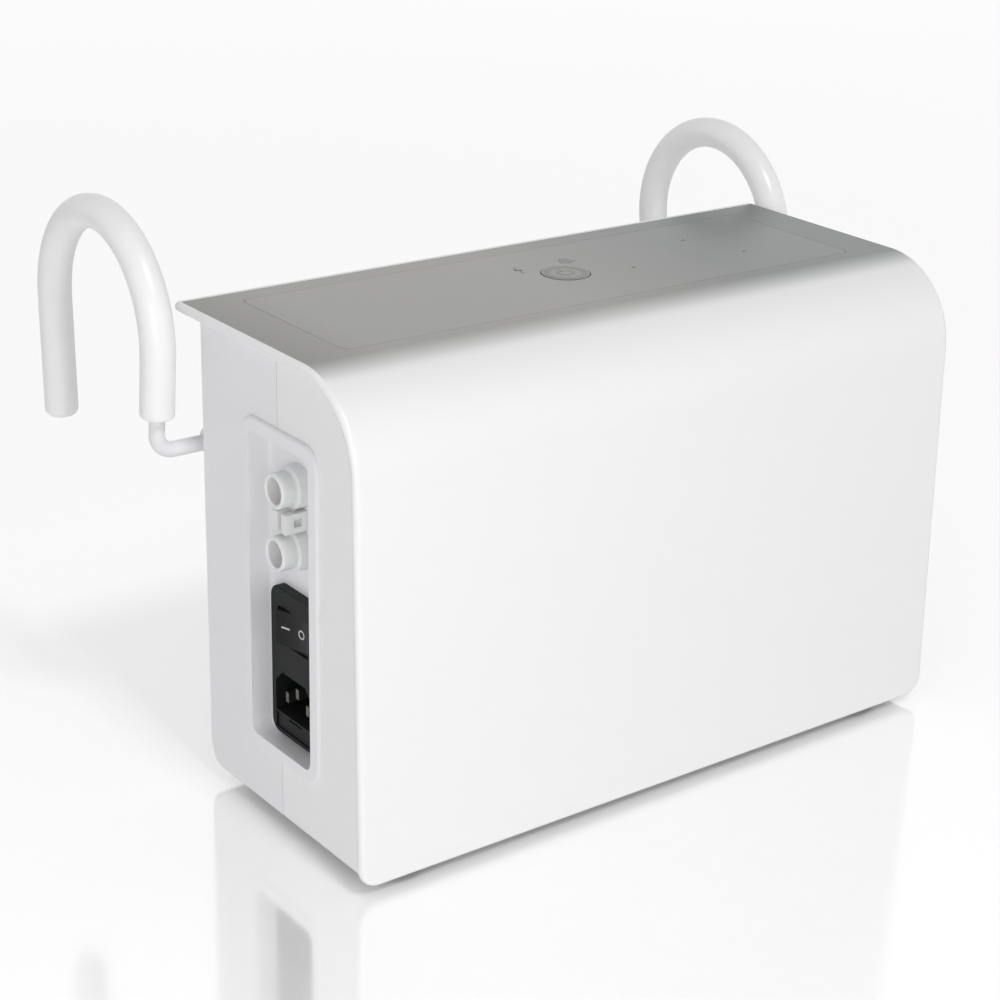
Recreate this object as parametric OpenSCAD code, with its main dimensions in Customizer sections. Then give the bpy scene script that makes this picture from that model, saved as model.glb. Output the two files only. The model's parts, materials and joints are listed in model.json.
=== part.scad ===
// Air mattress pump: a bed-end control unit with two swinging hooks.
// Origin at the centre of the case on the floor, X along the case,
// -Y towards the front face, +Y towards the bed, Z up.

/* [Case] */
// Length of the hood over its two end lips
case_l = 284; // [276:1:310]
// Depth from the front face to the rear wall
case_d = 112; // [110:1:124]
// Height of the case without its feet
case_h = 186.5; // [184:0.5:200]
// Wall of the hood
hood_t = 4; // [3:0.5:5]
// How far the hood stands proud of the end walls
lip = 3.6; // [2.5:0.1:5]
// How far the top overhangs the rear wall
overhang = 13.4; // [13:0.1:20]
// Radius between the front face and the top
nose_r = 34; // [24:1:38]
// Backward lean of the front face in degrees
lean = 1.5; // [0.5:0.25:3]
// Radius of the lower corners of the front face
skirt_r = 8; // [5:0.5:12]
// Radius along the lower rear edge
heel_r = 13; // [8:0.5:14]
// Wall of the end walls, the floor and the rear wall
wall = 2.6; // [2:0.1:3]
// Place of the seam between the two mouldings
seam_y = 3.4; // [-2:0.1:8]
// Height of the feet under the case
foot_h = 3.5; // [3:0.5:6]
// Radius of a foot
foot_r = 8; // [6:0.5:10]

/* [Port recess] */
// Centre of the recess from the middle of the case
port_y = 1.4; // [-2:0.1:3]
// Height of the centre of the recess above the floor
port_z = 94.4; // [93:0.1:98]
// Width of the recess opening
port_w = 40.4; // [39:0.1:44]
// Height of the recess opening
port_h = 120.5; // [118:0.5:124]
// Corner radius of the recess opening
port_r = 4; // [3.5:0.5:7]
// Depth of the recess below the end wall
port_depth = 8; // [7:0.5:10]
// Width of the raised frame round the recess
frame_w = 5.4; // [5:0.1:6]
// How far the frame stands above the end wall
frame_t = 1.5; // [1:0.1:2]
// Corner radius of the raised frame
frame_r = 9; // [8:0.5:10]
// Radius of the cove between the recess floor and its walls
cove_r = 1.8; // [1:0.1:1.9]
// Wall of the recess tray
tray_t = 2; // [1.6:0.1:2.4]

/* [Air ports] */
// Outside radius of an air spigot
spigot_r = 6.6; // [6:0.1:7]
// Radius of the spigot bore
spigot_bore_r = 4.9; // [4:0.1:5.2]
// Height of the spigot above the end wall
spigot_proud = 3.3; // [2:0.1:6]
// Radius of the boss at the foot of a spigot
boss_r = 7.9; // [7.5:0.1:8.4]
// Height of the boss above the recess floor
boss_h = 5.4; // [4:0.1:6.5]
// Distance between the two spigots
spigot_pitch = 24; // [23:0.5:26]
// Height of the middle of the spigot pair above the middle of the recess
spigot_up = 31.1; // [29.6:0.1:33]
// Outside radius of a hose nipple inside the case
nipple_r = 3; // [2.5:0.1:3.5]

/* [Mains module] */
// Width of the module flange
mod_w = 31; // [30:0.5:33]
// Height of the module flange
mod_h = 59.6; // [59:0.1:62]
// Gap between the lower edge of the recess and the module
mod_gap = 1.85; // [1:0.05:3]
// Height of the module face above the recess floor
mod_t = 3.85; // [3:0.05:5]
// Corner radius of the module flange
mod_r = 5; // [2:0.5:6]
// Width of the rocker across its two marks
rocker_w = 18; // [16:0.5:19]
// Height of the rocker
rocker_h = 13.8; // [11:0.1:14]
// Half of the rocking angle in degrees
rocker_a = 10; // [6:1:11]
// Width of the fuse drawer
drawer_w = 24; // [22:0.5:25]
// Height of the fuse drawer
drawer_h = 6; // [5.8:0.1:6.2]
// Length of the fuse drawer
drawer_l = 18; // [17:0.5:22]

/* [Hooks] */
// Radius of the steel hook rod
rod_r = 3; // [2.5:0.1:3.5]
// Outside radius of the plastic sleeve
sleeve_r = 6.5; // [6.4:0.1:7.5]
// Distance of the rod axis behind the rear wall
rod_gap = 7.4; // [6.5:0.1:8]
// Height of the rod axis above the floor
rod_z = 135.2; // [125:0.1:145]
// Distance of a hook from the middle of the case
arm_x = 154; // [150:0.5:170]
// Inner end of the rod, from the middle of the case
rod_in = 59; // [50:1:66]
// Bend radius of the rod at its corner
bend_r = 7; // [6:0.5:12]
// Height of the hook bow centre above the rod
arm_h = 37; // [34:0.5:50]
// Radius of the hook bow
bow_r = 41.2; // [30:0.1:50]
// How far the free leg closes in, in degrees
leg_a = 6.5; // [0:0.5:10]
// Length of the straight free leg with its tip
leg_l = 48.5; // [30:0.5:60]
// Start of the sleeve above the rod
sleeve_z = 14.4; // [11:0.1:20]
// Radial gap between a sleeve and its rod
sleeve_gap = 0.03; // [0.02:0.01:0.05]
// Resting lean of the left hook in degrees
left_lean = 5.5; // [-10:0.5:10]
// Resting lean of the right hook in degrees
right_lean = -2.5; // [-10:0.5:10]
// Width of a rod clamp
clamp_w = 14; // [10:1:18]
// Place of the inner clamp from the middle of the case
clamp_in = 72; // [70:1:80]
// Place of the outer clamp from the middle of the case
clamp_out = 126; // [110:1:128]

/* [Control panel] */
// Length of the printed film on the top
film_l = 242; // [200:1:250]
// Width of the printed film
film_w = 70; // [60:1:72]
// Thickness of the printed film
film_t = 0.5; // [0.3:0.1:0.8]
// Middle of the film from the middle of the case
film_y = 21.7; // [18:0.1:24]
// Radius of the round key
key_r = 9.5; // [8:0.1:11]
// Place of the key along the case
key_x = 3.2; // [-10:0.1:10]
// Place of the key across the case
key_y = 22.5; // [18:0.1:26]
// Travel of the key
key_travel = 0.6; // [0.4:0.1:0.8]
// Radius of a status light guide
guide_r = 1.2; // [0.8:0.1:1.5]

/* [Air filter] */
// Width of the filter door
door_w = 54; // [44:1:60]
// Height of the filter door
door_h = 42; // [36:1:48]
// Thickness of the filter door
door_t = 2.6; // [2:0.1:3]
// Place of the filter door along the case
door_x = 62; // [50:1:70]
// Height of the middle of the filter door
door_z = 62; // [50:1:70]
// Depth of the filter well
well_d = 11; // [10:0.5:14]

/* [Compressor] */
// Place of the compressor along the case
pump_x = 28; // [20:1:34]
// Place of the compressor across the case
pump_y = 0; // [-6:1:4]
// Height of the rubber mounts
mount_h = 10; // [8:0.5:12]
// Length of the base plate
base_l = 128; // [124:1:136]
// Width of the base plate
base_w = 76; // [72:1:80]
// Radius of a bellows
bellows_r = 16; // [12:0.5:18]
// Half of the swing of a magnet arm in degrees
arm_swing = 1.5; // [0.5:0.25:2]

/* [Air distributor] */
// Place of the distributor along the case
valve_x = -60; // [-62:1:-58]
// Radius of the distributor housing
valve_r = 22; // [20:0.5:24]
// Module of the gear teeth
gear_m = 1; // [0.8:0.1:1.2]
// Teeth of the large gear
gear_n = 36; // [30:2:40]
// Teeth of the motor pinion
pinion_n = 12; // [10:2:16]

/* [Hidden] */

// The ports and the module are placed in the recess, and the distributor on the ports
spigot_z = port_z + spigot_up;
mod_z = port_z - port_h / 2 + mod_gap + mod_h / 2;
valve_y = port_y;
$fn = 48;

// Clearance between pieces that sit in one another
gap = 0.3;
// Radial clearance of a pin that turns in its bore
run = 0.05;
// Overlap that joins two forms of one moulding
eps = 0.4;
// Straight forms run this far into the bends, which are larger by a hair
bite = 0.4;
swell = 0.02;

zb = foot_h;
zt = foot_h + case_h;
yf = -case_d / 2;
yr = case_d / 2;
end_x = case_l / 2 - lip;
floor_z = zb + wall;
rear_in = yr - wall;
edge_r = hood_t / 2;
nose_v = (zt - nose_r - zb + nose_r * sin(lean)) / cos(lean);
nose_y = yf + nose_r * cos(lean) + nose_v * sin(lean);
nose_z = zt - nose_r;

// Shared helpers

// Turns a profile drawn in Y and Z so that it runs along X
module along_x() {
    rotate([90, 0, 90]) children();
}

// Frame of the left end wall: x towards the front, y up, z outwards
module at_port(y = 0, z = 0) {
    translate([-end_x, port_y + y, port_z + z]) rotate([90, 0, -90]) children();
}

// Rectangle with round corners, centred
module round_rect(w, h, r) {
    square([w - 2 * r, h], center = true);
    square([w, h - 2 * r], center = true);
    for (x = [-1, 1], y = [-1, 1])
        translate([x * (w / 2 - r), y * (h / 2 - r)]) circle(r);
}

// Round bar bent to a rectangle with round corners
module bar_loop(w, h, r, bar) {
    for (s = [-1, 1]) {
        translate([s * w / 2, 0, 0]) rotate([90, 0, 0])
            cylinder(r = bar, h = h - 2 * r, center = true);
        translate([0, s * h / 2, 0]) rotate([0, 90, 0])
            cylinder(r = bar, h = w - 2 * r, center = true);
    }
    for (q = [0:3]) {
        sx = (q == 0 || q == 3) ? 1 : -1;
        sy = (q < 2) ? 1 : -1;
        translate([sx * (w / 2 - r), sy * (h / 2 - r), 0])
            rotate([0, 0, 90 * q])
                rotate_extrude(angle = 90) translate([r, 0]) circle(bar);
    }
}

// Plate with round corners and a rounded upper edge
module soft_plate(w, h, r, t, e) {
    linear_extrude(t - e) round_rect(w, h, r);
    linear_extrude(t) round_rect(w - 2 * e, h - 2 * e, r - e);
    translate([0, 0, t - e]) bar_loop(w - 2 * e, h - 2 * e, r - e, e);
}

// Ring, or a full disc when the bore is zero
module ring(r, bore) {
    difference() {
        circle(r);
        if (bore > 0) circle(bore);
    }
}

// Round bar or tube through points whose runs follow the axes, with bent corners
module bent_bar(pts, r, bend, bore = 0) {
    n = len(pts);
    for (i = [0:n - 2]) {
        d = pts[i + 1] - pts[i];
        u = d / norm(d);
        a = pts[i] + (i > 0 ? bend : 0) * u;
        b = pts[i + 1] - (i < n - 2 ? bend : 0) * u;
        translate(a)
            rotate([0, acos(u[2]), atan2(u[1], u[0])])
                linear_extrude(norm(b - a)) ring(r, bore);
    }
    for (i = [1:1:n - 2]) {
        u = (pts[i] - pts[i - 1]) / norm(pts[i] - pts[i - 1]);
        v = (pts[i + 1] - pts[i]) / norm(pts[i + 1] - pts[i]);
        c = pts[i] + bend * (v - u);
        w = cross(-v, u);
        multmatrix([[-v[0], u[0], w[0], c[0]],
                    [-v[1], u[1], w[1], c[1]],
                    [-v[2], u[2], w[2], c[2]]])
            rotate_extrude(angle = 90) translate([bend, 0]) ring(r, bore);
    }
}

// Side outline of the case, set in from the hood's outer face
module side_outline(inset, y_end) {
    r = nose_r - inset;
    polygon([[yf + inset / cos(lean), zb],
             [nose_y - r * cos(lean), nose_z + r * sin(lean)],
             [nose_y, nose_z],
             [nose_y, zt - inset],
             [y_end, zt - inset],
             [y_end, zb]]);
    intersection() {
        translate([nose_y, nose_z]) circle(r, $fn = 96);
        polygon([[nose_y, nose_z],
                 [nose_y - 2 * r * cos(lean), nose_z + 2 * r * sin(lean)],
                 [nose_y - 2 * r, nose_z + 2 * r], [nose_y, nose_z + 2 * r]]);
    }
}

// Everything between the end walls, with the lower corners rounded
module case_section() {
    r = skirt_r - lip;
    rotate([90, 0, 0]) linear_extrude(2 * case_d, center = true) {
        translate([-end_x + r, zb]) square([2 * (end_x - r), case_h]);
        translate([-end_x, zb + r]) square([2 * end_x, case_h - r]);
        for (s = [-1, 1]) translate([s * (end_x - r), zb + r]) circle(r);
    }
}

// Hood: front face, nose and top as one sheet with rounded edges

// Section of the sheet with its two rounded ends, along X
module sheet_section(more = 0) {
    square([case_l - hood_t, hood_t + 2 * more], center = true);
    for (s = [-1, 1]) translate([s * (case_l / 2 - edge_r), 0]) circle(edge_r + more);
}

module hood_front() {
    translate([0, yf, zb]) rotate([-lean, 0, 0]) {
        translate([0, edge_r, skirt_r])
            linear_extrude(nose_v - skirt_r + bite) sheet_section();
        translate([0, edge_r, (edge_r + skirt_r) / 2])
            cube([case_l - 2 * skirt_r, hood_t, skirt_r - edge_r], center = true);
        translate([0, edge_r, edge_r]) rotate([0, 90, 0])
            cylinder(r = edge_r, h = case_l - 2 * skirt_r, center = true);
        for (s = [0, 1]) mirror([s, 0, 0])
            translate([case_l / 2 - skirt_r, edge_r, skirt_r])
                rotate([90, 0, 0]) rotate([0, 0, -90])
                    rotate_extrude(angle = 90) {
                        translate([0, -edge_r]) square([skirt_r - edge_r, hood_t]);
                        translate([skirt_r - edge_r, 0]) circle(edge_r);
                    }
    }
}

module hood_nose() {
    translate([0, nose_y, nose_z]) along_x() rotate([0, 0, 90])
        rotate_extrude(angle = 90 - lean, $fn = 96)
            translate([nose_r - edge_r, 0]) rotate(90) sheet_section(swell);
}

module hood_top() {
    back = yr + overhang;
    translate([0, nose_y - bite, zt - edge_r]) rotate([-90, 0, 0])
        linear_extrude(back - edge_r - nose_y + bite) sheet_section();
    translate([0, back - edge_r, zt - edge_r]) {
        rotate([0, 90, 0])
            cylinder(r = edge_r, h = case_l - hood_t, center = true);
        for (s = [-1, 1]) translate([s * (case_l / 2 - edge_r), 0, 0])
            rotate([90, 0, s * 45]) sphere(edge_r);
    }
}

// Case screws hold the two mouldings together from the rear

screw_x = end_x - 13;
screw_low = zb + 15;
screw_high = zt - 20;
screw_r = 1.5;
screw_head_r = 3.2;
screw_split = 20;
screw_seat = yr - 5;

module at_screws() {
    for (x = [-screw_x, screw_x], z = [screw_low, screw_high])
        translate([x, 0, z]) rotate([-90, 0, 0]) children();
}

// Clearance hole for a foot

foot_x = end_x - 22;
foot_front = yf + 15;
foot_rear = yr - heel_r - foot_r - 1;
foot_seat = 1.2;

module at_feet(ys) {
    for (x = [-foot_x, foot_x], y = ys) translate([x, y, 0]) children();
}

module port_hole() {
    at_port() translate([0, 0, -wall - 4])
        linear_extrude(wall + 5)
            round_rect(port_w + 2 * tray_t + gap, port_h + 2 * tray_t + gap,
                       port_r + tray_t);
}

board_w = 190;
board_d = 44;
board_gap = 7;
board_z = zt - hood_t - board_gap;
board_x = 20;
board_y = 25;
guide_at = [[-9.5, 36.7], [13.3, 36.1], [31, 15], [74.4, 35.7], [84.6, 9.9]];

module at_board_posts() {
    for (x = [-1, 1], y = [-1, 1])
        translate([board_x + x * (board_w / 2 - 5), board_y + y * (board_d / 2 - 5), 0])
            children();
}

module front_cover() color([0.95, 0.95, 0.96]) difference() {
    union() {
        hood_front();
        hood_nose();
        hood_top();
        intersection() {
            union() {
                for (s = [-1, 1])
                    translate([s * (end_x - wall / 2), 0, 0]) along_x()
                        linear_extrude(wall, center = true)
                            side_outline(edge_r, seam_y);
                translate([-end_x, yf + edge_r, zb])
                    cube([2 * end_x, seam_y - yf - edge_r, wall]);
            }
            case_section();
        }
        intersection() {
            at_screws() translate([0, 0, yf]) cylinder(r = 4, h = screw_split - yf);
            along_x() linear_extrude(case_l, center = true)
                side_outline(edge_r, screw_split);
        }
        for (x = [-70:70:70]) translate([x - 0.8, 0, 0]) along_x()
            linear_extrude(1.6) difference() {
                side_outline(edge_r, nose_y);
                side_outline(hood_t + 5, nose_y + 1);
                translate([yf - 1, 0]) square([case_d, zb + 30]);
            }
        at_board_posts() translate([0, 0, board_z])
            cylinder(r = 3, h = board_gap + eps);
        at_feet([foot_front]) translate([0, 0, zb])
            cylinder(r = foot_r + wall, h = foot_seat + wall);
    }
    port_hole();
    translate([0, film_y, zt - film_t])
        linear_extrude(film_t + 1) round_rect(film_l + gap, film_w + gap, 4);
    translate([key_x, key_y, zt - hood_t - 1]) cylinder(r = key_r + gap, h = hood_t + 2);
    for (p = guide_at) translate([p[0], p[1], zt - hood_t - 1])
        cylinder(r = guide_r + run, h = hood_t + 2);
    at_screws() translate([0, 0, screw_split - 16]) cylinder(r = screw_r, h = 17);
    at_board_posts() translate([0, 0, board_z - 1]) cylinder(r = 1, h = board_gap);
    at_feet([foot_front]) translate([0, 0, zb - 1]) cylinder(r = foot_r, h = foot_seat + 1);
}

// Rear case with its rod saddles and filter well

rod_y = yr + rod_gap;
saddle_h = 20;
clamp_hole_r = 1.4;
clamp_screw_z = 7;
lap = 3;
lap_t = 1.2;
lap_gap = 0.15;
lap_h = zt - hood_t - gap - floor_z - 12;
well_z = door_z;
hinge_z = door_z - door_h / 2 + 2;
hinge_r = 1.25;
door_y = yr - door_t - 0.4;
well_w = door_w + 2 * gap;
well_h = door_h + 2 * gap;
well_back = yr - well_d;

module at_clamps() {
    for (x = [-clamp_out, -clamp_in, clamp_in, clamp_out])
        translate([x, rod_y, rod_z]) children();
}

module rear_outline(inset) {
    y1 = yr - inset;
    z0 = zb + inset;
    r = heel_r - inset;
    z1 = zt - hood_t - gap;
    polygon([[seam_y, z0], [y1 - r, z0], [y1, z0 + r], [y1, z1], [seam_y, z1]]);
    intersection() {
        translate([y1 - r, z0 + r]) circle(r);
        translate([y1 - r, z0]) square([r, r]);
    }
}

module rear_case() color([0.93, 0.93, 0.94]) difference() {
    union() {
        difference() {
            intersection() {
                along_x() linear_extrude(2 * end_x, center = true) rear_outline(0);
                case_section();
            }
            along_x() linear_extrude(2 * (end_x - wall), center = true) {
                rear_outline(wall);
                translate([seam_y - 1, floor_z]) square([2, zt - floor_z]);
                translate([seam_y - 1, nose_z]) square([rear_in - seam_y + 1, nose_r]);
            }
        }
        for (s = [0, 1]) mirror([s, 0, 0])
            translate([end_x - wall - lap_t, seam_y, floor_z + 6]) {
                translate([-lap_gap, -lap, 0]) cube([lap_t, 3 * lap, lap_h]);
                translate([-lap_gap, 0.5, 0]) cube([lap_t + eps, 2 * lap - 0.5, lap_h]);
            }
        at_clamps() translate([-clamp_w / 2, -rod_gap - eps, -saddle_h / 2])
            cube([clamp_w, rod_gap + eps, saddle_h]);
        at_screws() translate([0, 0, screw_split + 0.1])
            cylinder(r = 4.6, h = rear_in + eps - screw_split);
        translate([door_x, (yr + well_back - wall) / 2 - 0.2, well_z])
            cube([well_w + 2 * wall, well_d + wall - 0.4, well_h + 2 * wall], center = true);
        at_feet([foot_rear]) translate([0, 0, zb])
            cylinder(r = foot_r + wall, h = foot_seat + wall);
    }
    port_hole();
    at_clamps() {
        rotate([0, 90, 0]) cylinder(r = rod_r + run, h = clamp_w + 2, center = true);
        for (s = [-1, 1]) translate([0, 1, s * clamp_screw_z]) rotate([90, 0, 0])
            cylinder(r = clamp_hole_r, h = 8);
    }
    at_screws() {
        translate([0, 0, screw_split - 1]) cylinder(r = screw_r + gap, h = case_d);
        translate([0, 0, screw_seat]) cylinder(r = screw_head_r + gap, h = 10);
    }
    translate([door_x, (yr + well_back) / 2 + 1, well_z])
        cube([well_w, well_d + 2, well_h], center = true);
    translate([door_x, door_y + door_t / 2, hinge_z]) rotate([0, 90, 0])
        cylinder(r = hinge_r + run, h = well_w + 3, center = true);
    translate([door_x, well_back + 1, well_z]) rotate([90, 0, 0])
        cylinder(r = 5, h = wall + 2);
    at_feet([foot_rear]) translate([0, 0, zb - 1]) cylinder(r = foot_r, h = foot_seat + 1);
}

// Port panel: tray with a cove and a raised frame with a rounded outer edge

spigot_dz = spigot_z - port_z;
mod_dz = mod_z - port_z;
frame_edge = 1.2;
body_w = mod_w - 4;
body_h = mod_h - 3;

module port_panel() color([0.94, 0.94, 0.95]) at_port() difference() {
    union() {
        difference() {
            soft_plate(port_w + 2 * frame_w, port_h + 2 * frame_w, frame_r, frame_t, frame_edge);
            translate([0, 0, -port_depth]) linear_extrude(port_depth)
                square([2 * port_w, 2 * port_h], center = true);
        }
        translate([0, 0, -port_depth - tray_t])
            linear_extrude(port_depth + tray_t + eps)
                round_rect(port_w + 2 * tray_t, port_h + 2 * tray_t, port_r + tray_t);
    }
    translate([0, 0, -port_depth + cove_r])
        linear_extrude(port_depth + 2) round_rect(port_w, port_h, port_r);
    translate([0, 0, -port_depth]) linear_extrude(cove_r + 1)
        round_rect(port_w - 2 * cove_r, port_h - 2 * cove_r, port_r - cove_r);
    translate([0, 0, -port_depth + cove_r])
        bar_loop(port_w - 2 * cove_r, port_h - 2 * cove_r, port_r - cove_r + 0.01, cove_r);
    for (s = [-1, 1]) translate([0, spigot_dz + s * spigot_pitch / 2, -port_depth - tray_t - 1])
        cylinder(r = boss_r + 0.1, h = tray_t + 2);
    translate([0, spigot_dz, -port_depth]) cube([catch_w + 0.2, catch_h + 0.2, 3 * tray_t], center = true);
    translate([0, mod_dz, -port_depth - tray_t - 1])
        linear_extrude(tray_t + 2) round_rect(body_w + gap, body_h + gap, 2);
}

// Air ports: two stepped spigots with a keeper for the hose connector

catch_w = 9.4;
catch_h = 7.4;
catch_top = 1.2;
plate_t = 2.4;
plate_z = -port_depth - tray_t - plate_t;
nipple_l = 12;
nipple_bore_r = 1.9;

module spigot_profile() {
    rim = (spigot_r - spigot_bore_r) / 2;
    polygon([[spigot_bore_r, plate_z + plate_t], [boss_r, plate_z],
             [boss_r, boss_h - port_depth - 0.8], [boss_r - 0.8, boss_h - port_depth],
             [spigot_r, boss_h - port_depth], [spigot_r, spigot_proud - rim],
             [spigot_bore_r, spigot_proud - rim]]);
    translate([spigot_bore_r + rim, spigot_proud - rim]) circle(rim, $fn = 24);
}

module nipple_profile() {
    z0 = plate_z - nipple_l;
    polygon([[nipple_bore_r, plate_z + 0.2], [nipple_bore_r, z0], [nipple_r - 0.5, z0],
             [nipple_r, z0 + 2], [nipple_r, plate_z + 0.2]]);
}

module air_ports() color([0.93, 0.93, 0.94]) at_port(0, spigot_dz) difference() {
    union() {
        translate([0, 0, plate_z]) linear_extrude(plate_t)
            round_rect(2 * boss_r + 6, spigot_pitch + 2 * boss_r + 6, 4);
        for (s = [-1, 1]) translate([0, s * spigot_pitch / 2, 0]) {
            rotate_extrude() spigot_profile();
            rotate_extrude() nipple_profile();
        }
        difference() {
            translate([-catch_w / 2, -catch_h / 2, plate_z])
                cube([catch_w, catch_h, catch_top - plate_z]);
            translate([0.6, 0, catch_top - 1.8]) cube([2.6, catch_h + 1, 9], center = true);
            translate([catch_w / 2, 0, -4]) cube([4.4, 3, 3.4], center = true);
        }
    }
    for (s = [-1, 1]) translate([0, s * spigot_pitch / 2, 0]) {
        translate([0, 0, plate_z + plate_t]) cylinder(r = spigot_bore_r, h = 40);
        translate([0, 0, plate_z - 1]) cylinder(r = nipple_bore_r, h = 10);
    }
}

// Mains module: inlet, rocker switch and fuse drawer in one black moulding

face_z = mod_t - port_depth;
body_l = 30;
rock_dz = 15.2;
inlet_dz = -12.3;
drawer_dz = -mod_h / 2 + drawer_h / 2 + 2.2;
aperture_w = rocker_w + 2.5;
aperture_h = rocker_h + 0.6;
pivot_z = face_z - 4.8;
pivot_r = 1.2;
inlet_w = 24.6;
inlet_h = 16.6;
inlet_d = 15.5;
inlet_cut = 4.5;
pin_w = 2;
pin_h = 4;
pin_l = 20;
pin_tip = face_z - 1.6;
drawer_face = face_z - 0.6;

module inlet_outline() {
    w = inlet_w / 2;
    h = inlet_h / 2;
    polygon([[-w, -h], [w, -h], [w, h - inlet_cut], [w - inlet_cut, h],
             [-w + inlet_cut, h], [-w, h - inlet_cut]]);
}

module inlet_module() color([0.1, 0.11, 0.11]) at_port(0, mod_dz) difference() {
    union() {
        translate([0, 0, -port_depth]) soft_plate(mod_w, mod_h, mod_r, mod_t, 0.8);
        translate([0, 0, -port_depth - body_l]) linear_extrude(body_l + eps)
            round_rect(body_w, body_h, 2);
        for (x = [-7, 0, 7]) translate([x, inlet_dz, -port_depth - body_l - 4])
            cube([0.8, 4.8, 9], center = true);
    }
    translate([0, rock_dz, face_z - 6]) cube([aperture_w, aperture_h, 14], center = true);
    translate([0, rock_dz, pivot_z]) rotate([90, 0, 0])
        cylinder(r = pivot_r + run, h = rocker_h + 5, center = true);
    translate([0, inlet_dz, face_z - inlet_d]) linear_extrude(inlet_d + 1) inlet_outline();
    translate([0, drawer_dz, drawer_face - drawer_l / 2])
        cube([drawer_w + 0.4, drawer_h + 0.4, drawer_l + 2], center = true);
}

module inlet_pins() color([0.75, 0.74, 0.7]) at_port(0, mod_dz + inlet_dz) {
    for (p = [[0, 2], [-7, -2], [7, -2]])
        translate([p[0], p[1], face_z - inlet_d + (pin_tip - face_z + inlet_d) / 2])
            cube([pin_w, pin_h, pin_tip - face_z + inlet_d], center = true);
}

module rocker_outline() {
    w = rocker_w / 2;
    rise = w * tan(rocker_a);
    c = 4.5;
    difference() {
        union() {
            polygon([[-w, c + rise], [0, c], [w, c + rise], [w, 2], [0, -1], [-w, 2]]);
            circle(4);
        }
        translate([0, c + 38]) circle(38, $fn = 120);
    }
}

module rocker_switch() color([0.12, 0.12, 0.13]) at_port(0, mod_dz + rock_dz)
    translate([0, 0, pivot_z]) rotate([90, 0, 0]) rotate([0, 0, -rocker_a]) {
        linear_extrude(rocker_h, center = true) rocker_outline();
        cylinder(r = pivot_r, h = rocker_h + 4, center = true);
    }

module fuse_drawer() color([0.12, 0.12, 0.13]) at_port(0, mod_dz + drawer_dz) difference() {
    translate([0, 0, drawer_face - drawer_l / 2]) cube([drawer_w, drawer_h, drawer_l], center = true);
    for (z = [4.6, 11.8]) translate([0, 0, drawer_face - z])
        cube([20.4, drawer_h + 1, 5.4], center = true);
    translate([0, drawer_h / 2, drawer_face]) rotate([0, 90, 0])
        cylinder(r = 1.2, h = 9, center = true);
}

module fuses() at_port(0, mod_dz + drawer_dz) {
    for (z = [4.6, 11.8]) translate([0, 0, drawer_face - z]) rotate([0, 90, 0]) {
        color([0.85, 0.88, 0.9]) cylinder(r = 2.3, h = 19, center = true, $fn = 24);
        color([0.75, 0.75, 0.74]) for (s = [-1, 1]) translate([0, 0, s * 7.6])
            cylinder(r = 2.6, h = 4.8, center = true, $fn = 24);
    }
}

// Control panel in the top

module control_film() color([0.6, 0.62, 0.62]) difference() {
    translate([0, film_y, zt - film_t]) linear_extrude(film_t) round_rect(film_l, film_w, 4);
    translate([key_x, key_y, zt - film_t - 1]) cylinder(r = key_r + gap + 0.1, h = 3);
}

key_stem_r = 3;
plunger_r = 1.6;
switch_h = 3.4;

module ring_key() color([0.62, 0.64, 0.64]) translate([key_x, key_y, 0]) {
    translate([0, 0, zt - hood_t - 0.4]) cylinder(r = key_r, h = hood_t + 0.6);
    translate([0, 0, zt - hood_t - 1.4]) cylinder(r = key_r + 1.2, h = 1.2);
    translate([0, 0, board_z + switch_h + key_travel + 0.2])
        cylinder(r = key_stem_r, h = board_gap - switch_h - key_travel - 1);
    translate([0, 0, board_z + switch_h - 0.4]) cylinder(r = plunger_r, h = 2);
}

module keypad_board() color([0.1, 0.35, 0.2]) difference() {
    translate([board_x, board_y, board_z - 1.6]) linear_extrude(1.6)
        round_rect(board_w, board_d, 2);
    at_board_posts() translate([0, 0, board_z - 3]) cylinder(r = 1, h = 4);
}

module key_switch() color([0.15, 0.15, 0.16]) translate([key_x, key_y, board_z]) difference() {
    translate([-3, -3, 0]) cube([6, 6, switch_h]);
    translate([0, 0, 1.5]) cylinder(r = plunger_r + 0.1, h = switch_h);
}

module status_light_guides() color([0.85, 0.9, 0.85]) for (p = guide_at)
    translate([p[0], p[1], board_z + 1.3]) {
        cylinder(r = guide_r, h = zt - film_t - board_z - 1.3, $fn = 24);
        cylinder(r = guide_r + 0.8, h = 1.5, $fn = 24);
    }

module status_leds() color([0.9, 0.85, 0.5]) for (p = guide_at)
    translate([p[0] - 1.6, p[1] - 0.8, board_z]) cube([3.2, 1.6, 1.1]);

// Hooks: bent steel rod, plastic sleeve and push-on rings

// Solid end of the sleeve beyond the rod
tip_l = 7;
tip_r = 3.2;
// Rounding at the open end of the sleeve
rim_r = 1.5;

// Frame of a hook: rod axis along X through the origin, leaning by its angle
module at_hook(side, angle) {
    translate([0, rod_y, rod_z]) rotate([angle, 0, 0])
        mirror([side > 0 ? 1 : 0, 0, 0]) children();
}

// Frame of the bow: its centre, turned so that the free leg hangs down its Y
module at_bow() {
    translate([-arm_x, bow_r, arm_h]) along_x() rotate([0, 0, -leg_a]) children();
}

module hook_bar(r, z0, l) {
    translate([-arm_x, 0, z0]) cylinder(r = r, h = arm_h + bite - z0);
    at_bow() rotate_extrude(angle = 180 + leg_a) translate([bow_r, 0]) circle(r + swell);
    at_bow() translate([bow_r, bite, 0]) rotate([90, 0, 0]) cylinder(r = r, h = l + bite);
}

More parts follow.
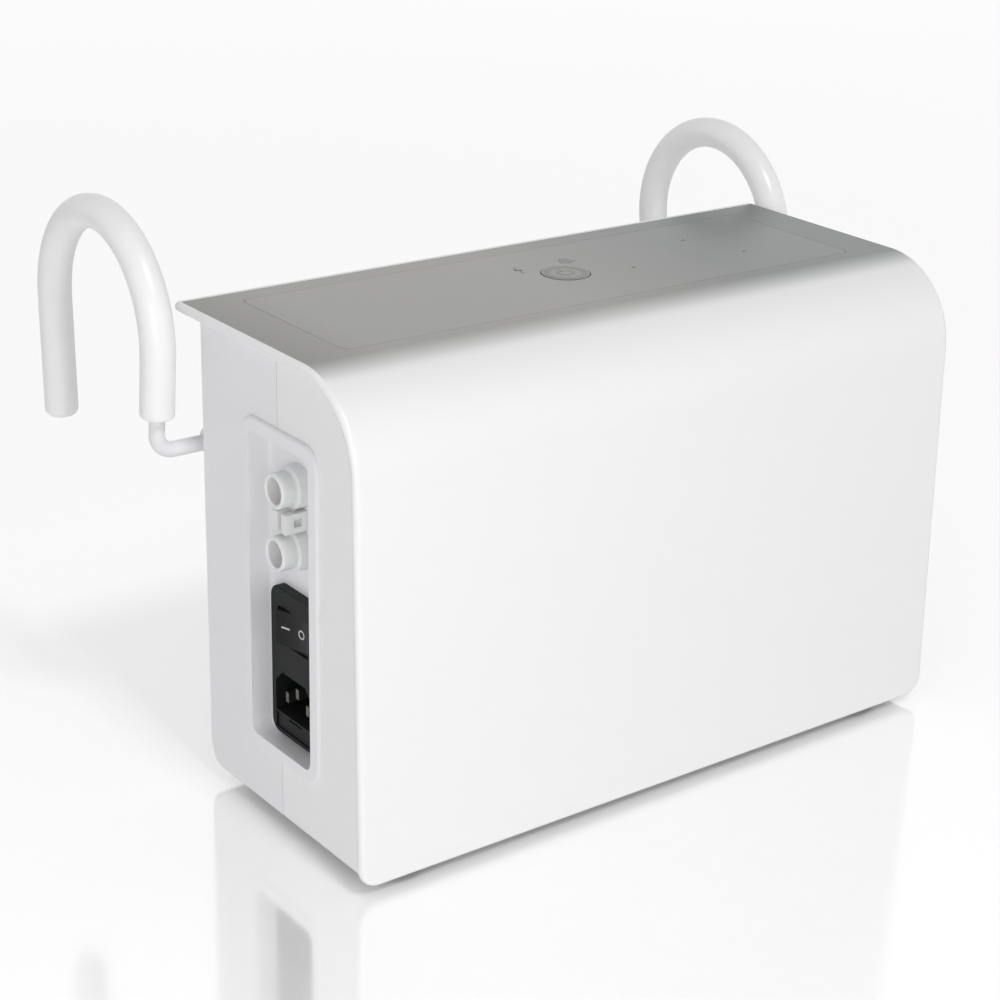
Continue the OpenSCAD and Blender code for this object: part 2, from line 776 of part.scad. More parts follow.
module hook_rod() color([0.9, 0.9, 0.9]) {
    translate([-(arm_x - bend_r) - bite, 0, 0]) rotate([0, 90, 0])
        cylinder(r = rod_r, h = arm_x - bend_r - rod_in + bite);
    translate([-(arm_x - bend_r), 0, bend_r]) rotate([90, 0, 0]) rotate([0, 0, 180])
        rotate_extrude(angle = 90) translate([bend_r, 0]) circle(rod_r + swell);
    hook_bar(rod_r, bend_r - bite, leg_l - tip_l - 0.2);
}

module soft_bar(r, l, edge) rotate_extrude() {
    translate([0, edge]) square([r, l - edge]);
    square([r - edge, 2 * edge]);
    translate([r - edge, edge]) circle(edge);
}

module hook_sleeve() difference() {
    union() {
        translate([-arm_x, 0, sleeve_z]) soft_bar(sleeve_r, arm_h + bite - sleeve_z, rim_r);
        at_bow() rotate_extrude(angle = 180 + leg_a) translate([bow_r, 0]) circle(sleeve_r + swell);
        at_bow() translate([bow_r, -leg_l, 0]) rotate([-90, 0, 0]) soft_bar(sleeve_r, leg_l + bite, tip_r);
    }
    hook_bar(rod_r + sleeve_gap, sleeve_z - 1, leg_l - tip_l);
}

module rod_rings() color([0.7, 0.7, 0.72]) for (s = [-1, 1])
    translate([-clamp_in + s * (clamp_w / 2 + gap + 0.6), 0, 0]) rotate([0, 90, 0])
        difference() {
            cylinder(r = rod_r + 2, h = 1.2, center = true);
            cylinder(r = rod_r, h = 3, center = true);
        }

module left_hook_rod() at_hook(-1, left_lean) hook_rod();
module left_hook_sleeve() color([0.93, 0.93, 0.93]) at_hook(-1, left_lean) hook_sleeve();
module left_rod_rings() at_hook(-1, left_lean) rod_rings();
module right_hook_rod() at_hook(1, right_lean) hook_rod();
module right_hook_sleeve() color([0.93, 0.93, 0.93]) at_hook(1, right_lean) hook_sleeve();
module right_rod_rings() at_hook(1, right_lean) rod_rings();

clamp_t = 2.2;

module rod_clamps() color([0.92, 0.92, 0.93]) at_clamps() difference() {
    union() {
        translate([-clamp_w / 2, gap / 3, -saddle_h / 2]) cube([clamp_w, clamp_t, saddle_h]);
        intersection() {
            rotate([0, 90, 0]) cylinder(r = rod_r + clamp_t, h = clamp_w, center = true);
            translate([-clamp_w, gap / 3, -20]) cube([2 * clamp_w, 20, 40]);
        }
    }
    rotate([0, 90, 0]) cylinder(r = rod_r + run, h = clamp_w + 2, center = true);
    for (s = [-1, 1]) translate([0, -1, s * clamp_screw_z]) rotate([-90, 0, 0])
        cylinder(r = 1.6, h = 10);
}

module clamp_screws() color([0.75, 0.75, 0.76]) at_clamps()
    for (s = [-1, 1]) translate([0, 0, s * clamp_screw_z]) rotate([-90, 0, 0]) {
        translate([0, 0, gap / 3 + clamp_t]) cylinder(r = 2.2, h = 1.8, $fn = 24);
        translate([0, 0, -6]) cylinder(r = clamp_hole_r, h = 6.3 + clamp_t, $fn = 24);
    }

module case_screws() color([0.75, 0.75, 0.76]) at_screws() difference() {
    union() {
        translate([0, 0, screw_seat]) cylinder(r = screw_head_r, h = 2.2, $fn = 24);
        translate([0, 0, screw_split - 14]) cylinder(r = screw_r, h = screw_seat - screw_split + 14.5, $fn = 24);
    }
    translate([0, 0, screw_seat + 2]) cube([1, 4.4, 2], center = true);
}

module feet() color([0.2, 0.2, 0.21]) at_feet([foot_front, foot_rear])
    rotate_extrude() polygon([[0, 0], [foot_r - 1.6, 0], [foot_r - 0.8, 0.8],
        [foot_r - 0.5, foot_h], [foot_r - 0.1, foot_h], [foot_r - 0.1, foot_h + foot_seat],
        [0, foot_h + foot_seat]]);

// Air filter behind a hinged grille

module filter_door() color([0.93, 0.93, 0.94]) translate([door_x, door_y, door_z]) difference() {
    union() {
        rotate([-90, 0, 0]) linear_extrude(door_t) square([door_w, door_h - 4], center = true);
        translate([0, door_t / 2, hinge_z - door_z]) rotate([0, 90, 0]) {
            cylinder(r = door_t / 2, h = door_w, center = true);
            cylinder(r = hinge_r, h = door_w + 2.8, center = true);
        }
        translate([0, door_t / 2, door_h / 2 - 1]) cube([door_w, door_t, 2.6], center = true);
        translate([-5, door_t - eps, door_h / 2 - 4]) cube([10, 1.6 + eps, 2]);
    }
    for (z = [-12:4:12]) translate([0, door_t / 2, z])
        rotate([-90, 0, 0]) linear_extrude(door_t + 2, center = true) round_rect(door_w - 12, 2, 0.99);
}

module filter_foam() color([0.25, 0.25, 0.26])
    translate([door_x, (well_back + door_y) / 2, door_z])
        cube([door_w - 1, door_y - well_back - 0.6, door_h - 1], center = true);

// Compressor: a coil drives two magnet arms, each works a rubber bellows

base_z = floor_z + mount_h;
base_t = 2;
deck_z = base_z + base_t;
axis_z = deck_z + 22;
core_w = 28;
core_h = 36;
core_y = 4;
core_d = 18;
leg_t = 7;
arm_t = 2.5;
arm_off = core_w / 2 + 6.5;
pivot_y = -30;
arm_pin_r = 1.5;
arm_top = axis_z + 12;
head_x = 40;
head_w = 17;
head_s = 38;
head_foot = axis_z - deck_z - head_s / 2 + eps;
bellows_y = -6;
inlet_y = pump_y + bellows_y - valve_y;

module at_pump() translate([pump_x, pump_y, 0]) children();

module pump_mounts() color([0.15, 0.15, 0.15]) at_pump()
    for (x = [-1, 1], y = [-1, 1])
        translate([x * (base_l / 2 - 9), y * (base_w / 2 - 9), floor_z])
            rotate_extrude() polygon([[0, 0], [7, 0], [7, 3], [5, mount_h / 2],
                [7, mount_h - 3], [7, mount_h - 0.05], [0, mount_h - 0.05]]);

module pump_base() color([0.7, 0.71, 0.72]) at_pump() {
    translate([0, 0, base_z]) linear_extrude(base_t) round_rect(base_l, base_w, 8);
    for (s = [-1, 1]) translate([s * arm_off, pivot_y, deck_z - eps])
        cylinder(r = arm_pin_r, h = arm_top - deck_z + 4);
    for (s = [-1, 1]) translate([s * arm_off, pivot_y, deck_z - eps])
        cylinder(r = 4, h = axis_z - 12 - deck_z + eps - 0.2);
}

module pump_core() color([0.45, 0.45, 0.47]) at_pump()
    translate([0, core_y + core_d / 2, axis_z]) rotate([90, 0, 0])
        linear_extrude(core_d, center = true) difference() {
            square([core_w, core_h], center = true);
            for (x = [-1, 1], z = [-1, 1])
                translate([x * (core_w / 2 - 4), z * (core_h - leg_t) / 4])
                    square([14, core_h / 2 - 1.5 * leg_t], center = true);
        }

module pump_coil() color([0.75, 0.4, 0.15]) at_pump()
    for (s = [-1, 1]) translate([s * (core_w / 2 - 5), core_y + core_d / 2, axis_z])
        rotate([0, 90, 0]) difference() {
            linear_extrude(7, center = true) round_rect(leg_t + 12, core_d + 10, 4);
            linear_extrude(9, center = true) square([leg_t + 0.6, core_d + 0.6], center = true);
        }

module magnet_arm(side) color([0.8, 0.8, 0.8]) at_pump() difference() {
    union() {
        translate([side * arm_off - arm_t / 2, pivot_y, axis_z - 10])
            cube([arm_t, core_y + core_d - pivot_y, 20]);
        translate([side * arm_off, pivot_y, axis_z - 12]) cylinder(r = 4, h = 24);
        translate([side * (arm_off - arm_t / 2 - 1.2), core_y + core_d / 2, axis_z])
            cube([2.8, core_d - 4, 18], center = true);
        translate([side * (arm_off + 3), bellows_y, axis_z]) rotate([0, 90, 0])
            cylinder(r = 4, h = 4, center = true);
    }
    translate([side * arm_off, pivot_y, axis_z - 13])
        cylinder(r = arm_pin_r + run, h = 26);
}

module left_magnet_arm() magnet_arm(-1);
module right_magnet_arm() magnet_arm(1);

module bellows(side) color([0.2, 0.2, 0.2]) at_pump()
    translate([side * (arm_off + 2.8), bellows_y, axis_z]) rotate([0, side * 90, 0])
        rotate_extrude() polygon([[0, 3], [4.6, 3], [4.6, 0], [bellows_r - 8, 0],
            [bellows_r - 7, 2], [bellows_r - 3, 5], [bellows_r - 4, 8],
            [bellows_r, head_x - arm_off - 4.8],
            [bellows_r, head_x - arm_off - 2.8], [0, head_x - arm_off - 2.8]]);

module left_bellows() bellows(-1);
module right_bellows() bellows(1);

module valve_heads() color([0.9, 0.88, 0.8]) at_pump() for (s = [-1, 1])
    translate([s * (head_x + head_w / 2), bellows_y, axis_z]) difference() {
        union() {
            cube([head_w, head_s, head_s], center = true);
            translate([0, 0, head_s / 2 - eps]) cylinder(r = nipple_r, h = 11 + eps);
            translate([0, 0, eps - (head_s + head_foot) / 2])
                cube([head_w, head_s - 8, head_foot], center = true);
        }
        translate([0, 0, head_s / 2 - 8]) cylinder(r = nipple_bore_r, h = 30);
    }

// Air distributor: a slow motor turns a slotted disc over the outlet ports

valve_h = 12;
valve_z = spigot_z - spigot_pitch / 2 - valve_h / 2;
side_z = valve_z + valve_h / 2;
inlet_off = 11;
rotor_z = valve_z + valve_h + 0.1;
rotor_h = 5;
shaft_r = 3;
gear_z = rotor_z + rotor_h + 1;
gear_h = 4;
bracket_z = gear_z + gear_h + 3;
bracket_t = 2.4;
gear_gap = gear_m * (gear_n + pinion_n) / 2 + 0.1;
motor_y = valve_y - gear_gap;
motor_r = 13;
motor_h = 20;
motor_shaft_r = 1.5;
post_y = 12;

module at_valve() translate([valve_x, valve_y, 0]) children();
module at_motor() translate([valve_x, motor_y, 0]) children();

// Spur gear outline: tooth flanks drawn as straight lines
module gear_outline(n) {
    rp = gear_m * n / 2;
    ro = rp + gear_m * 0.9;
    ri = rp - gear_m * 1.15;
    a = 360 / n;
    polygon([for (i = [0:n - 1], p = [[ri, -0.34], [rp, -0.23], [ro, -0.1],
                                      [ro, 0.1], [rp, 0.23], [ri, 0.34]])
        [p[0] * cos(a * (i + p[1])), p[0] * sin(a * (i + p[1]))]]);
}

module valve_body() color([0.9, 0.88, 0.8]) at_valve() difference() {
    union() {
        translate([0, 0, valve_z]) cylinder(r = valve_r, h = valve_h);
        for (s = [-1, 1]) {
            translate([s * inlet_off, inlet_y, valve_z - 11]) cylinder(r = nipple_r, h = 12);
            translate([s * valve_r, post_y, valve_z]) cylinder(r = 4, h = bracket_z - valve_z);
        }
        translate([0, 0, side_z]) {
            rotate([0, -90, 0]) cylinder(r = nipple_r, h = valve_r + 11);
            rotate([-90, 0, 0]) cylinder(r = nipple_r, h = valve_r + 11);
        }
    }
    for (s = [-1, 1]) translate([s * inlet_off, inlet_y, valve_z - 12])
        cylinder(r = nipple_bore_r, h = valve_h + 13);
    translate([0, 0, valve_z + 1.5]) cylinder(r = shaft_r + run, h = 30);
    translate([0, 0, side_z]) {
        rotate([0, -90, 0]) translate([0, 0, valve_r - 4]) cylinder(r = nipple_bore_r, h = 20);
        rotate([-90, 0, 0]) translate([0, 0, valve_r - 4]) cylinder(r = nipple_bore_r, h = 20);
    }
}

module valve_rotor() color([0.3, 0.45, 0.6]) at_valve() {
    difference() {
        translate([0, 0, rotor_z]) cylinder(r = valve_r - 5, h = rotor_h);
        translate([0, 0, rotor_z - 1]) rotate_extrude(angle = 150)
            translate([9, 0]) square([6, 4]);
    }
    translate([0, 0, valve_z + 2]) cylinder(r = shaft_r, h = bracket_z + bracket_t - valve_z - 2);
}

module valve_gear() color([0.92, 0.92, 0.88]) at_valve() difference() {
    union() {
        translate([0, 0, gear_z]) linear_extrude(gear_h) gear_outline(gear_n);
        translate([0, 0, gear_z]) cylinder(r = shaft_r + 3, h = gear_h + 2);
    }
    translate([0, 0, gear_z - 1]) cylinder(r = shaft_r, h = gear_h + 5);
}

module valve_bracket() color([0.7, 0.71, 0.72]) difference() {
    union() {
        translate([valve_x - valve_r - 6, motor_y - 16, bracket_z])
            cube([2 * valve_r + 12, rear_in - motor_y + 16, bracket_t]);
        translate([valve_x - valve_r - 6, rear_in - bracket_t, bracket_z])
            cube([2 * valve_r + 12, bracket_t, 16]);
    }
    at_valve() translate([0, 0, bracket_z - 1]) cylinder(r = shaft_r + run, h = 6);
    at_motor() translate([0, 0, bracket_z - 1]) cylinder(r = 4, h = 6);
    for (s = [-1, 1]) translate([valve_x + s * 18, rear_in - 4, bracket_z + 9])
        rotate([-90, 0, 0]) cylinder(r = 1.8, h = 6);
}

module valve_motor() color([0.75, 0.76, 0.78]) at_motor() difference() {
    union() {
        translate([0, 0, bracket_z + bracket_t]) cylinder(r = motor_r, h = motor_h);
        translate([0, 0, bracket_z + 0.4]) cylinder(r = 3.9, h = bracket_t);
    }
    translate([0, 0, bracket_z - 1]) cylinder(r = motor_shaft_r + run, h = motor_h);
}

module motor_pinion() color([0.8, 0.65, 0.3]) at_motor() {
    translate([0, 0, gear_z - 0.5]) rotate([0, 0, 90 + 180 / pinion_n])
        linear_extrude(gear_h + 1) gear_outline(pinion_n);
    translate([0, 0, gear_z]) cylinder(r = motor_shaft_r, h = bracket_z + motor_h - gear_z - 2);
}

// Electronics

pcb_l = 124;
pcb_h = 74;
pcb_x = 52;
pcb_gap = 14;
pcb_z = board_z - pcb_gap - pcb_h / 2;
pcb_y = rear_in - 12;
pcb_t = 1.6;
plug_z = pcb_z - 30;

module at_pcb() translate([pcb_x, pcb_y, pcb_z]) children();

module at_pcb_posts() at_pcb() for (x = [-1, 1], z = [-1, 1])
    translate([x * (pcb_l / 2 - 5), 0, z * (pcb_h / 2 - 5)]) rotate([-90, 0, 0]) children();

module main_board() color([0.1, 0.35, 0.2]) {
    at_pcb() rotate([90, 0, 0]) linear_extrude(pcb_t) round_rect(pcb_l, pcb_h, 2);
    at_pcb_posts() translate([0, 0, -eps]) cylinder(r = 3, h = rear_in - pcb_y + eps, $fn = 24);
}

module transformer() color([0.45, 0.45, 0.47]) at_pcb() translate([34, -pcb_t - 15.05, -8]) {
    cube([34, 30, 28], center = true);
    color([0.85, 0.7, 0.3]) cube([22, 28, 40], center = true);
}

module board_parts() at_pcb() translate([0, -pcb_t - 0.05, 0]) rotate([90, 0, 0]) {
    color([0.1, 0.1, 0.12]) for (x = [-46, -34, -22]) translate([x, 8, 0]) linear_extrude(2.4) square([8, 8], center = true);
    color([0.15, 0.2, 0.45]) for (p = [[4, 22], [4, 6]]) translate([p[0], p[1], 0]) cylinder(r = 6, h = 16);
    color([0.95, 0.95, 0.9]) for (x = [-48, -26, -6]) translate([x, plug_z - pcb_z, 0])
        linear_extrude(8) square([16, 10], center = true);
    color([0.85, 0.85, 0.85]) for (x = [-50, -30]) translate([x, 26, 0]) {
        linear_extrude(5) square([10, 10], center = true);
        cylinder(r = 2, h = 10);
    }
}

// Hoses and leads

hose_r = 4.2;
hose_bend = 7;
port_hose_x = -end_x - plate_z + 2;
head_top = axis_z + head_s / 2 + 1;

module hose(pts) {
    bent_bar(pts, hose_r, hose_bend, nipple_r);
}

module air_hoses() color([0.85, 0.85, 0.82]) {
    x_l = pump_x - head_x - head_w / 2;
    x_r = pump_x + head_x + head_w / 2;
    y_h = pump_y + bellows_y;
    turn_x = port_hose_x + 23;
    far_y = rear_in - 10;
    hose([[x_l, y_h, head_top], [x_l, y_h, 79], [valve_x + inlet_off, y_h, 79],
          [valve_x + inlet_off, y_h, valve_z - 1]]);
    hose([[x_r, y_h, head_top], [x_r, y_h, 84], [x_r, y_h - 24, 84],
          [valve_x - inlet_off, y_h - 24, 84], [valve_x - inlet_off, y_h, 84],
          [valve_x - inlet_off, y_h, valve_z - 1]]);
    hose([[port_hose_x, port_y, side_z], [valve_x - valve_r - 1, port_y, side_z]]);
    hose([[port_hose_x, port_y, side_z + spigot_pitch],
          [turn_x, port_y, side_z + spigot_pitch],
          [turn_x, far_y, side_z + spigot_pitch], [turn_x, far_y, side_z],
          [valve_x, far_y, side_z], [valve_x, valve_y + valve_r + 1, side_z]]);
}

module mains_leads() color([0.35, 0.2, 0.12]) {
    x0 = -end_x + port_depth + body_l + 8.8;
    z0 = mod_z + inlet_dz;
    for (i = [-1, 0, 1])
        bent_bar([[x0, port_y + 7 * i, z0], [x0 + 9 + 4 * i, port_y + 7 * i, z0],
                  [x0 + 9 + 4 * i, port_y + 7 * i, 30 + 5 * i],
                  [x0 + 9 + 4 * i, rear_in - 6, 30 + 5 * i],
                  [-34 - 4 * i, rear_in - 6, 30 + 5 * i],
                  [-34 - 4 * i, rear_in - 6, plug_z + 3 * i],
                  [-34 - 4 * i, pcb_y - 6, plug_z + 3 * i],
                  [pcb_x - 56, pcb_y - 6, plug_z + 3 * i]], 1.3, 4);
}

front_cover();
rear_case();
port_panel();
air_ports();
inlet_module();
inlet_pins();
rocker_switch();
fuse_drawer();
fuses();
control_film();
ring_key();
keypad_board();
key_switch();
status_light_guides();
status_leds();
left_hook_rod();
left_hook_sleeve();
left_rod_rings();
right_hook_rod();
right_hook_sleeve();
right_rod_rings();
rod_clamps();
clamp_screws();
case_screws();
feet();
filter_door();
filter_foam();
pump_mounts();
pump_base();
pump_core();
pump_coil();
left_magnet_arm();
right_magnet_arm();
left_bellows();
right_bellows();
valve_heads();
valve_body();
valve_rotor();
valve_gear();
valve_bracket();
valve_motor();
motor_pinion();
main_board();
transformer();
board_parts();
air_hoses();
mains_leads();
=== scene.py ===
import json
import math

import bmesh
import bpy
from mathutils import Matrix, Vector
from mathutils.bvhtree import BVHTree

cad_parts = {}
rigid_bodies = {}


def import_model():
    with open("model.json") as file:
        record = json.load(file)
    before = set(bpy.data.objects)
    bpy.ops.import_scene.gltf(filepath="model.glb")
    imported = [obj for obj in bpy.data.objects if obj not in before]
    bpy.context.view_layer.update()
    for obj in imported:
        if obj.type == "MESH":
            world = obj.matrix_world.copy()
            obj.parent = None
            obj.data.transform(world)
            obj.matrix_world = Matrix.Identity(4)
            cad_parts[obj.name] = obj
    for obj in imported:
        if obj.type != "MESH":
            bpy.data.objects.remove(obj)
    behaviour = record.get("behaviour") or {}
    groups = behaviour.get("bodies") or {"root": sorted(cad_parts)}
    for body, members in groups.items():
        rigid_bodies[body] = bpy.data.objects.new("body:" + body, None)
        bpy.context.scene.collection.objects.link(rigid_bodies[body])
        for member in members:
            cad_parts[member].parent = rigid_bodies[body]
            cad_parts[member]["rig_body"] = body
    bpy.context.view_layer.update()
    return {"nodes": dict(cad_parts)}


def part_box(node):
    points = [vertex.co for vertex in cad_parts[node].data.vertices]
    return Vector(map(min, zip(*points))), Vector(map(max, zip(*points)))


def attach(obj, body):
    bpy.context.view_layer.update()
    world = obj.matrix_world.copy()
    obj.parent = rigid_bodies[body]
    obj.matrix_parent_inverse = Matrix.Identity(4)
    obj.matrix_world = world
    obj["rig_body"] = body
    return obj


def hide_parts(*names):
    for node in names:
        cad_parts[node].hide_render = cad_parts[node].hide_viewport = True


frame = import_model()
nodes = frame["nodes"]

# Camera: in front of the port end and a little above the top, with a long lens and a
# slight tilt of the frame.
azimuth, elevation, roll = (math.radians(a) for a in (-38.05, 21.85, 1.80))
to_camera = Vector((math.sin(azimuth) * math.cos(elevation),
                    -math.cos(azimuth) * math.cos(elevation),
                    math.sin(elevation)))
level = Vector((math.cos(azimuth), math.sin(azimuth), 0))
rise = to_camera.cross(level)
across = level * math.cos(roll) + rise * math.sin(roll)
upward = rise * math.cos(roll) - level * math.sin(roll)
camera = bpy.data.objects.new("camera", bpy.data.cameras.new("camera"))
bpy.context.scene.collection.objects.link(camera)
camera.matrix_world = (Matrix.Translation((-0.51917, -0.63110, 0.42806))
                       @ Matrix((across, upward, to_camera)).transposed().to_4x4())
camera.data.sensor_width = 36
camera.data.lens = 80.65
camera.data.shift_x = -0.0363
camera.data.shift_y = 0.0064
camera.data.clip_end = 40
bpy.context.scene.camera = camera
bpy.context.scene.view_settings.view_transform = "Standard"


# Floor: sheet of polished white acrylic on a studio table. It keeps the soft shadow of the
# case, and shows its mirror image in front. A faint glow, seen by the camera alone, brings its
# open parts up to white; the glow is cut back by occlusion beside and under the case, which
# paints contact shade there.
def srgb(code):
    """Linear colour of a #rrggbb value."""
    parts = [int(code[i:i + 2], 16) / 255 for i in (1, 3, 5)]
    return tuple(c / 12.92 if c <= 0.04045 else ((c + 0.055) / 1.055) ** 2.4
                 for c in parts) + (1,)


def add(tree, kind, links=(), values=(), **settings):
    """Adds a node with its settings, its input values and its links."""
    made = tree.nodes.new(kind)
    for name, value in settings.items():
        setattr(made, name, value)
    for name, value in dict(values).items():
        made.inputs[name].default_value = value
    for name, socket in dict(links).items():
        tree.links.new(socket, made.inputs[name])
    return made


def begin(name, colour, **values):
    """New finish on a Principled shader, with the Object coordinates to pattern it."""
    finish = bpy.data.materials.new(name)
    finish.use_nodes = True
    tree = finish.node_tree
    tree.nodes.clear()
    values = {key.replace("_", " "): value for key, value in values.items()}
    shader = add(tree, "ShaderNodeBsdfPrincipled",
                 values={"Base Color": srgb(colour), **values})
    add(tree, "ShaderNodeOutputMaterial", {"Surface": shader.outputs[0]})
    place = add(tree, "ShaderNodeTexCoord").outputs["Object"]
    return finish, tree, shader, place


floor_mesh = bpy.data.meshes.new("studio_floor")
reach = 9
floor_mesh.from_pydata([(-reach, -reach, 0), (reach, -reach, 0), (reach, reach, 0),
                        (-reach, reach, 0)], [], [(0, 1, 2, 3)])
floor = bpy.data.objects.new("studio_floor", floor_mesh)
bpy.context.scene.collection.objects.link(floor)
table_white, tree, shader, place = begin("polished_acrylic_white", "#f8f8f8",
                                         Metallic=0.43, Roughness=0.1)
path = add(tree, "ShaderNodeLightPath")
glow_strength = 0.18
open_sky = add(tree, "ShaderNodeAmbientOcclusion", values={"Distance": 0.25}, samples=8)
camera_glow = add(tree, "ShaderNodeMath", {0: path.outputs["Is Camera Ray"]},
                  {1: glow_strength}, operation="MULTIPLY")
# Glow times occlusion: painted contact shade beside and under the case.
glow_less_in_painted_shade = add(tree, "ShaderNodeMath", {0: camera_glow.outputs[0], 1: open_sky.outputs["AO"]},
           operation="MULTIPLY")
glow = add(tree, "ShaderNodeEmission", {"Strength": glow_less_in_painted_shade.outputs[0]}, {"Color": (1, 1, 1, 1)})
both = add(tree, "ShaderNodeAddShader", {0: shader.outputs[0], 1: glow.outputs[0]})
tree.links.new(both.outputs[0], tree.nodes["Material Output"].inputs["Surface"])
floor_mesh.materials.append(table_white)

# Studio light: a white room that is darker overhead, a key lamp high in front that
# throws the shadow straight back, and a soft fill that brightens the near end.
world = bpy.data.worlds.new("studio")
bpy.context.scene.world = world
world.use_nodes = True
tree = world.node_tree
tree.nodes.clear()
path = add(tree, "ShaderNodeLightPath")
direct = add(tree, "ShaderNodeMath", {0: path.outputs["Is Camera Ray"],
                                      1: path.outputs["Is Glossy Ray"]}, operation="MAXIMUM")
shown = add(tree, "ShaderNodeMath", {0: direct.outputs[0],
                                     1: path.outputs["Is Transmission Ray"]},
            operation="MAXIMUM")
height = add(tree, "ShaderNodeSeparateXYZ",
             {"Vector": add(tree, "ShaderNodeTexCoord").outputs["Generated"]})
ceiling = add(tree, "ShaderNodeMapRange", {"Value": height.outputs["Z"]},
              {"From Min": 0.0, "From Max": 1.0, "To Min": 0.8, "To Max": 0.15})
room = add(tree, "ShaderNodeBackground", {"Strength": ceiling.outputs[0]},
           {"Color": (1, 1, 1, 1)})
white = add(tree, "ShaderNodeBackground", values={"Color": (1, 1, 1, 1), "Strength": 1})
mixed = add(tree, "ShaderNodeMixShader", {0: shown.outputs[0], 1: room.outputs[0],
                                          2: white.outputs[0]})
add(tree, "ShaderNodeOutputWorld", {"Surface": mixed.outputs[0]})
for name, spot, size, watts in (("key_lamp", (-0.15, -1.28, 1.88), 0.3, 17.5),
                                ("left_fill", (-0.56, -0.5, 0.28), 0.3, 1.0)):
    lamp = bpy.data.objects.new(name, bpy.data.lights.new(name, "AREA"))
    lamp.data.size = size
    lamp.data.energy = watts
    bpy.context.scene.collection.objects.link(lamp)
    lamp.location = spot
    from_case = Vector(spot) - Vector((0, 0, 0.1))
    lamp.rotation_euler = from_case.to_track_quat("Z", "Y").to_euler()


# Hood: front face, nose and top in one sheet of injection-moulded white ABS. Its flat top is
# printed grey up to its rim, and the print fades out over the nose; the grey also carries
# painted reflection shade, lighter towards the port end. The last 0.3 mm of its end walls,
# where it meets the rear case, is painted darker as the shadow in the parting line.
def grain(tree, shader, place, size, depth, rough=None):
    """Moulded or cast texture: bumps of one size, and gloss that varies with them."""
    noise = add(tree, "ShaderNodeTexNoise", {"Vector": place},
                {"Scale": 1 / size, "Detail": 3.0, "Roughness": 0.55})
    bump = add(tree, "ShaderNodeBump", {"Height": noise.outputs["Fac"]},
               {"Distance": depth, "Strength": 1.0})
    tree.links.new(bump.outputs[0], shader.inputs["Normal"])
    if rough:
        spread = add(tree, "ShaderNodeMapRange", {"Value": noise.outputs["Fac"]},
                     {"From Min": 0.3, "From Max": 0.7, "To Min": rough[0], "To Max": rough[1]})
        tree.links.new(spread.outputs[0], shader.inputs["Roughness"])
    return noise.outputs["Fac"]


def ramp(tree, factor, stops):
    """Colour that runs through the stops (place, #rrggbb) as the factor grows."""
    made = add(tree, "ShaderNodeValToRGB", {"Fac": factor})
    made.color_ramp.elements.remove(made.color_ramp.elements[0])
    made.color_ramp.elements[0].position = stops[0][0]
    made.color_ramp.elements[0].color = srgb(stops[0][1])
    for spot, code in stops[1:]:
        made.color_ramp.elements.new(spot).color = srgb(code)
    return made.outputs["Color"]


def between(tree, value, low, high):
    """0 at low, 1 at high, with a smooth step between them; low may be the larger one."""
    return add(tree, "ShaderNodeMapRange", {"Value": value},
               {"From Min": low, "From Max": high}, interpolation_type="SMOOTHSTEP").outputs[0]


def every(tree, first, *others):
    """Product of masks: 1 where each of them is."""
    for mask in others:
        both = add(tree, "ShaderNodeMath", {0: first, 1: mask}, operation="MULTIPLY")
        first = both.outputs[0]
    return first


def cover(node, finish):
    """Gives a CAD node its finish."""
    mesh = nodes[node].data
    if not mesh.materials:
        mesh.materials.append(finish)
    for slot in nodes[node].material_slots:
        slot.material = finish


def grey_print_with_painted_shade(tree, place):
    """The printed grey of the top, with painted reflection shade: lighter towards the port end,
    darker towards the other end.
    """
    hood_end = 0.142
    along = add(tree, "ShaderNodeSeparateXYZ", {"Vector": place}).outputs["X"]
    share = add(tree, "ShaderNodeMapRange", {"Value": along},
                {"From Min": -hood_end, "From Max": hood_end}).outputs[0]
    return ramp(tree, share, [(0.0, "#797875"), (0.12, "#92918d"), (0.45, "#908f8b"),
                              (0.6, "#7d7e7b"), (0.72, "#6c706e"), (1.0, "#696d6b")])


hood_abs, tree, shader, place = begin("gloss_ABS_white_printed_top_painted_shade", "#eeeeef",
                                      Roughness=0.26)
grain(tree, shader, place, 0.0030, 0.000002, (0.255, 0.265))
axes = add(tree, "ShaderNodeSeparateXYZ", {"Vector": place}).outputs
off_middle = add(tree, "ShaderNodeMath", {0: axes["X"]}, operation="ABSOLUTE").outputs[0]
on_top = every(tree, between(tree, axes["Y"], -0.036, -0.016),
               between(tree, axes["Z"], 0.1860, 0.1886),
               between(tree, axes["Y"], 0.0663, 0.0660),
               between(tree, off_middle, 0.1405, 0.1402))
# Painted shadow of the parting line: a thin band at the seam, coloured darker grey.
seam_shadow_band = every(tree, between(tree, axes["Y"], 0.0030, 0.0033),
                between(tree, axes["Z"], 0.1845, 0.1840),
                between(tree, off_middle, 0.1390, 0.1387))
top_print_and_painted_shade = add(tree, "ShaderNodeMix", {"Factor": on_top}, data_type="RGBA")
seam_shadow_mix = add(tree, "ShaderNodeMix", {"Factor": seam_shadow_band}, data_type="RGBA")
first_colour, second_colour, mixed_colour = 6, 7, 2
top_print_and_painted_shade.inputs[first_colour].default_value = srgb("#eeeeef")
# The top's grey carries painted reflection shade, lighter towards the port end and darker
# towards the other end.
tree.links.new(grey_print_with_painted_shade(tree, place), top_print_and_painted_shade.inputs[second_colour])
tree.links.new(top_print_and_painted_shade.outputs[mixed_colour], seam_shadow_mix.inputs[first_colour])
seam_shadow_mix.inputs[second_colour].default_value = srgb("#a8a9aa")
tree.links.new(seam_shadow_mix.outputs[mixed_colour], shader.inputs["Base Color"])
cover("front_cover", hood_abs)

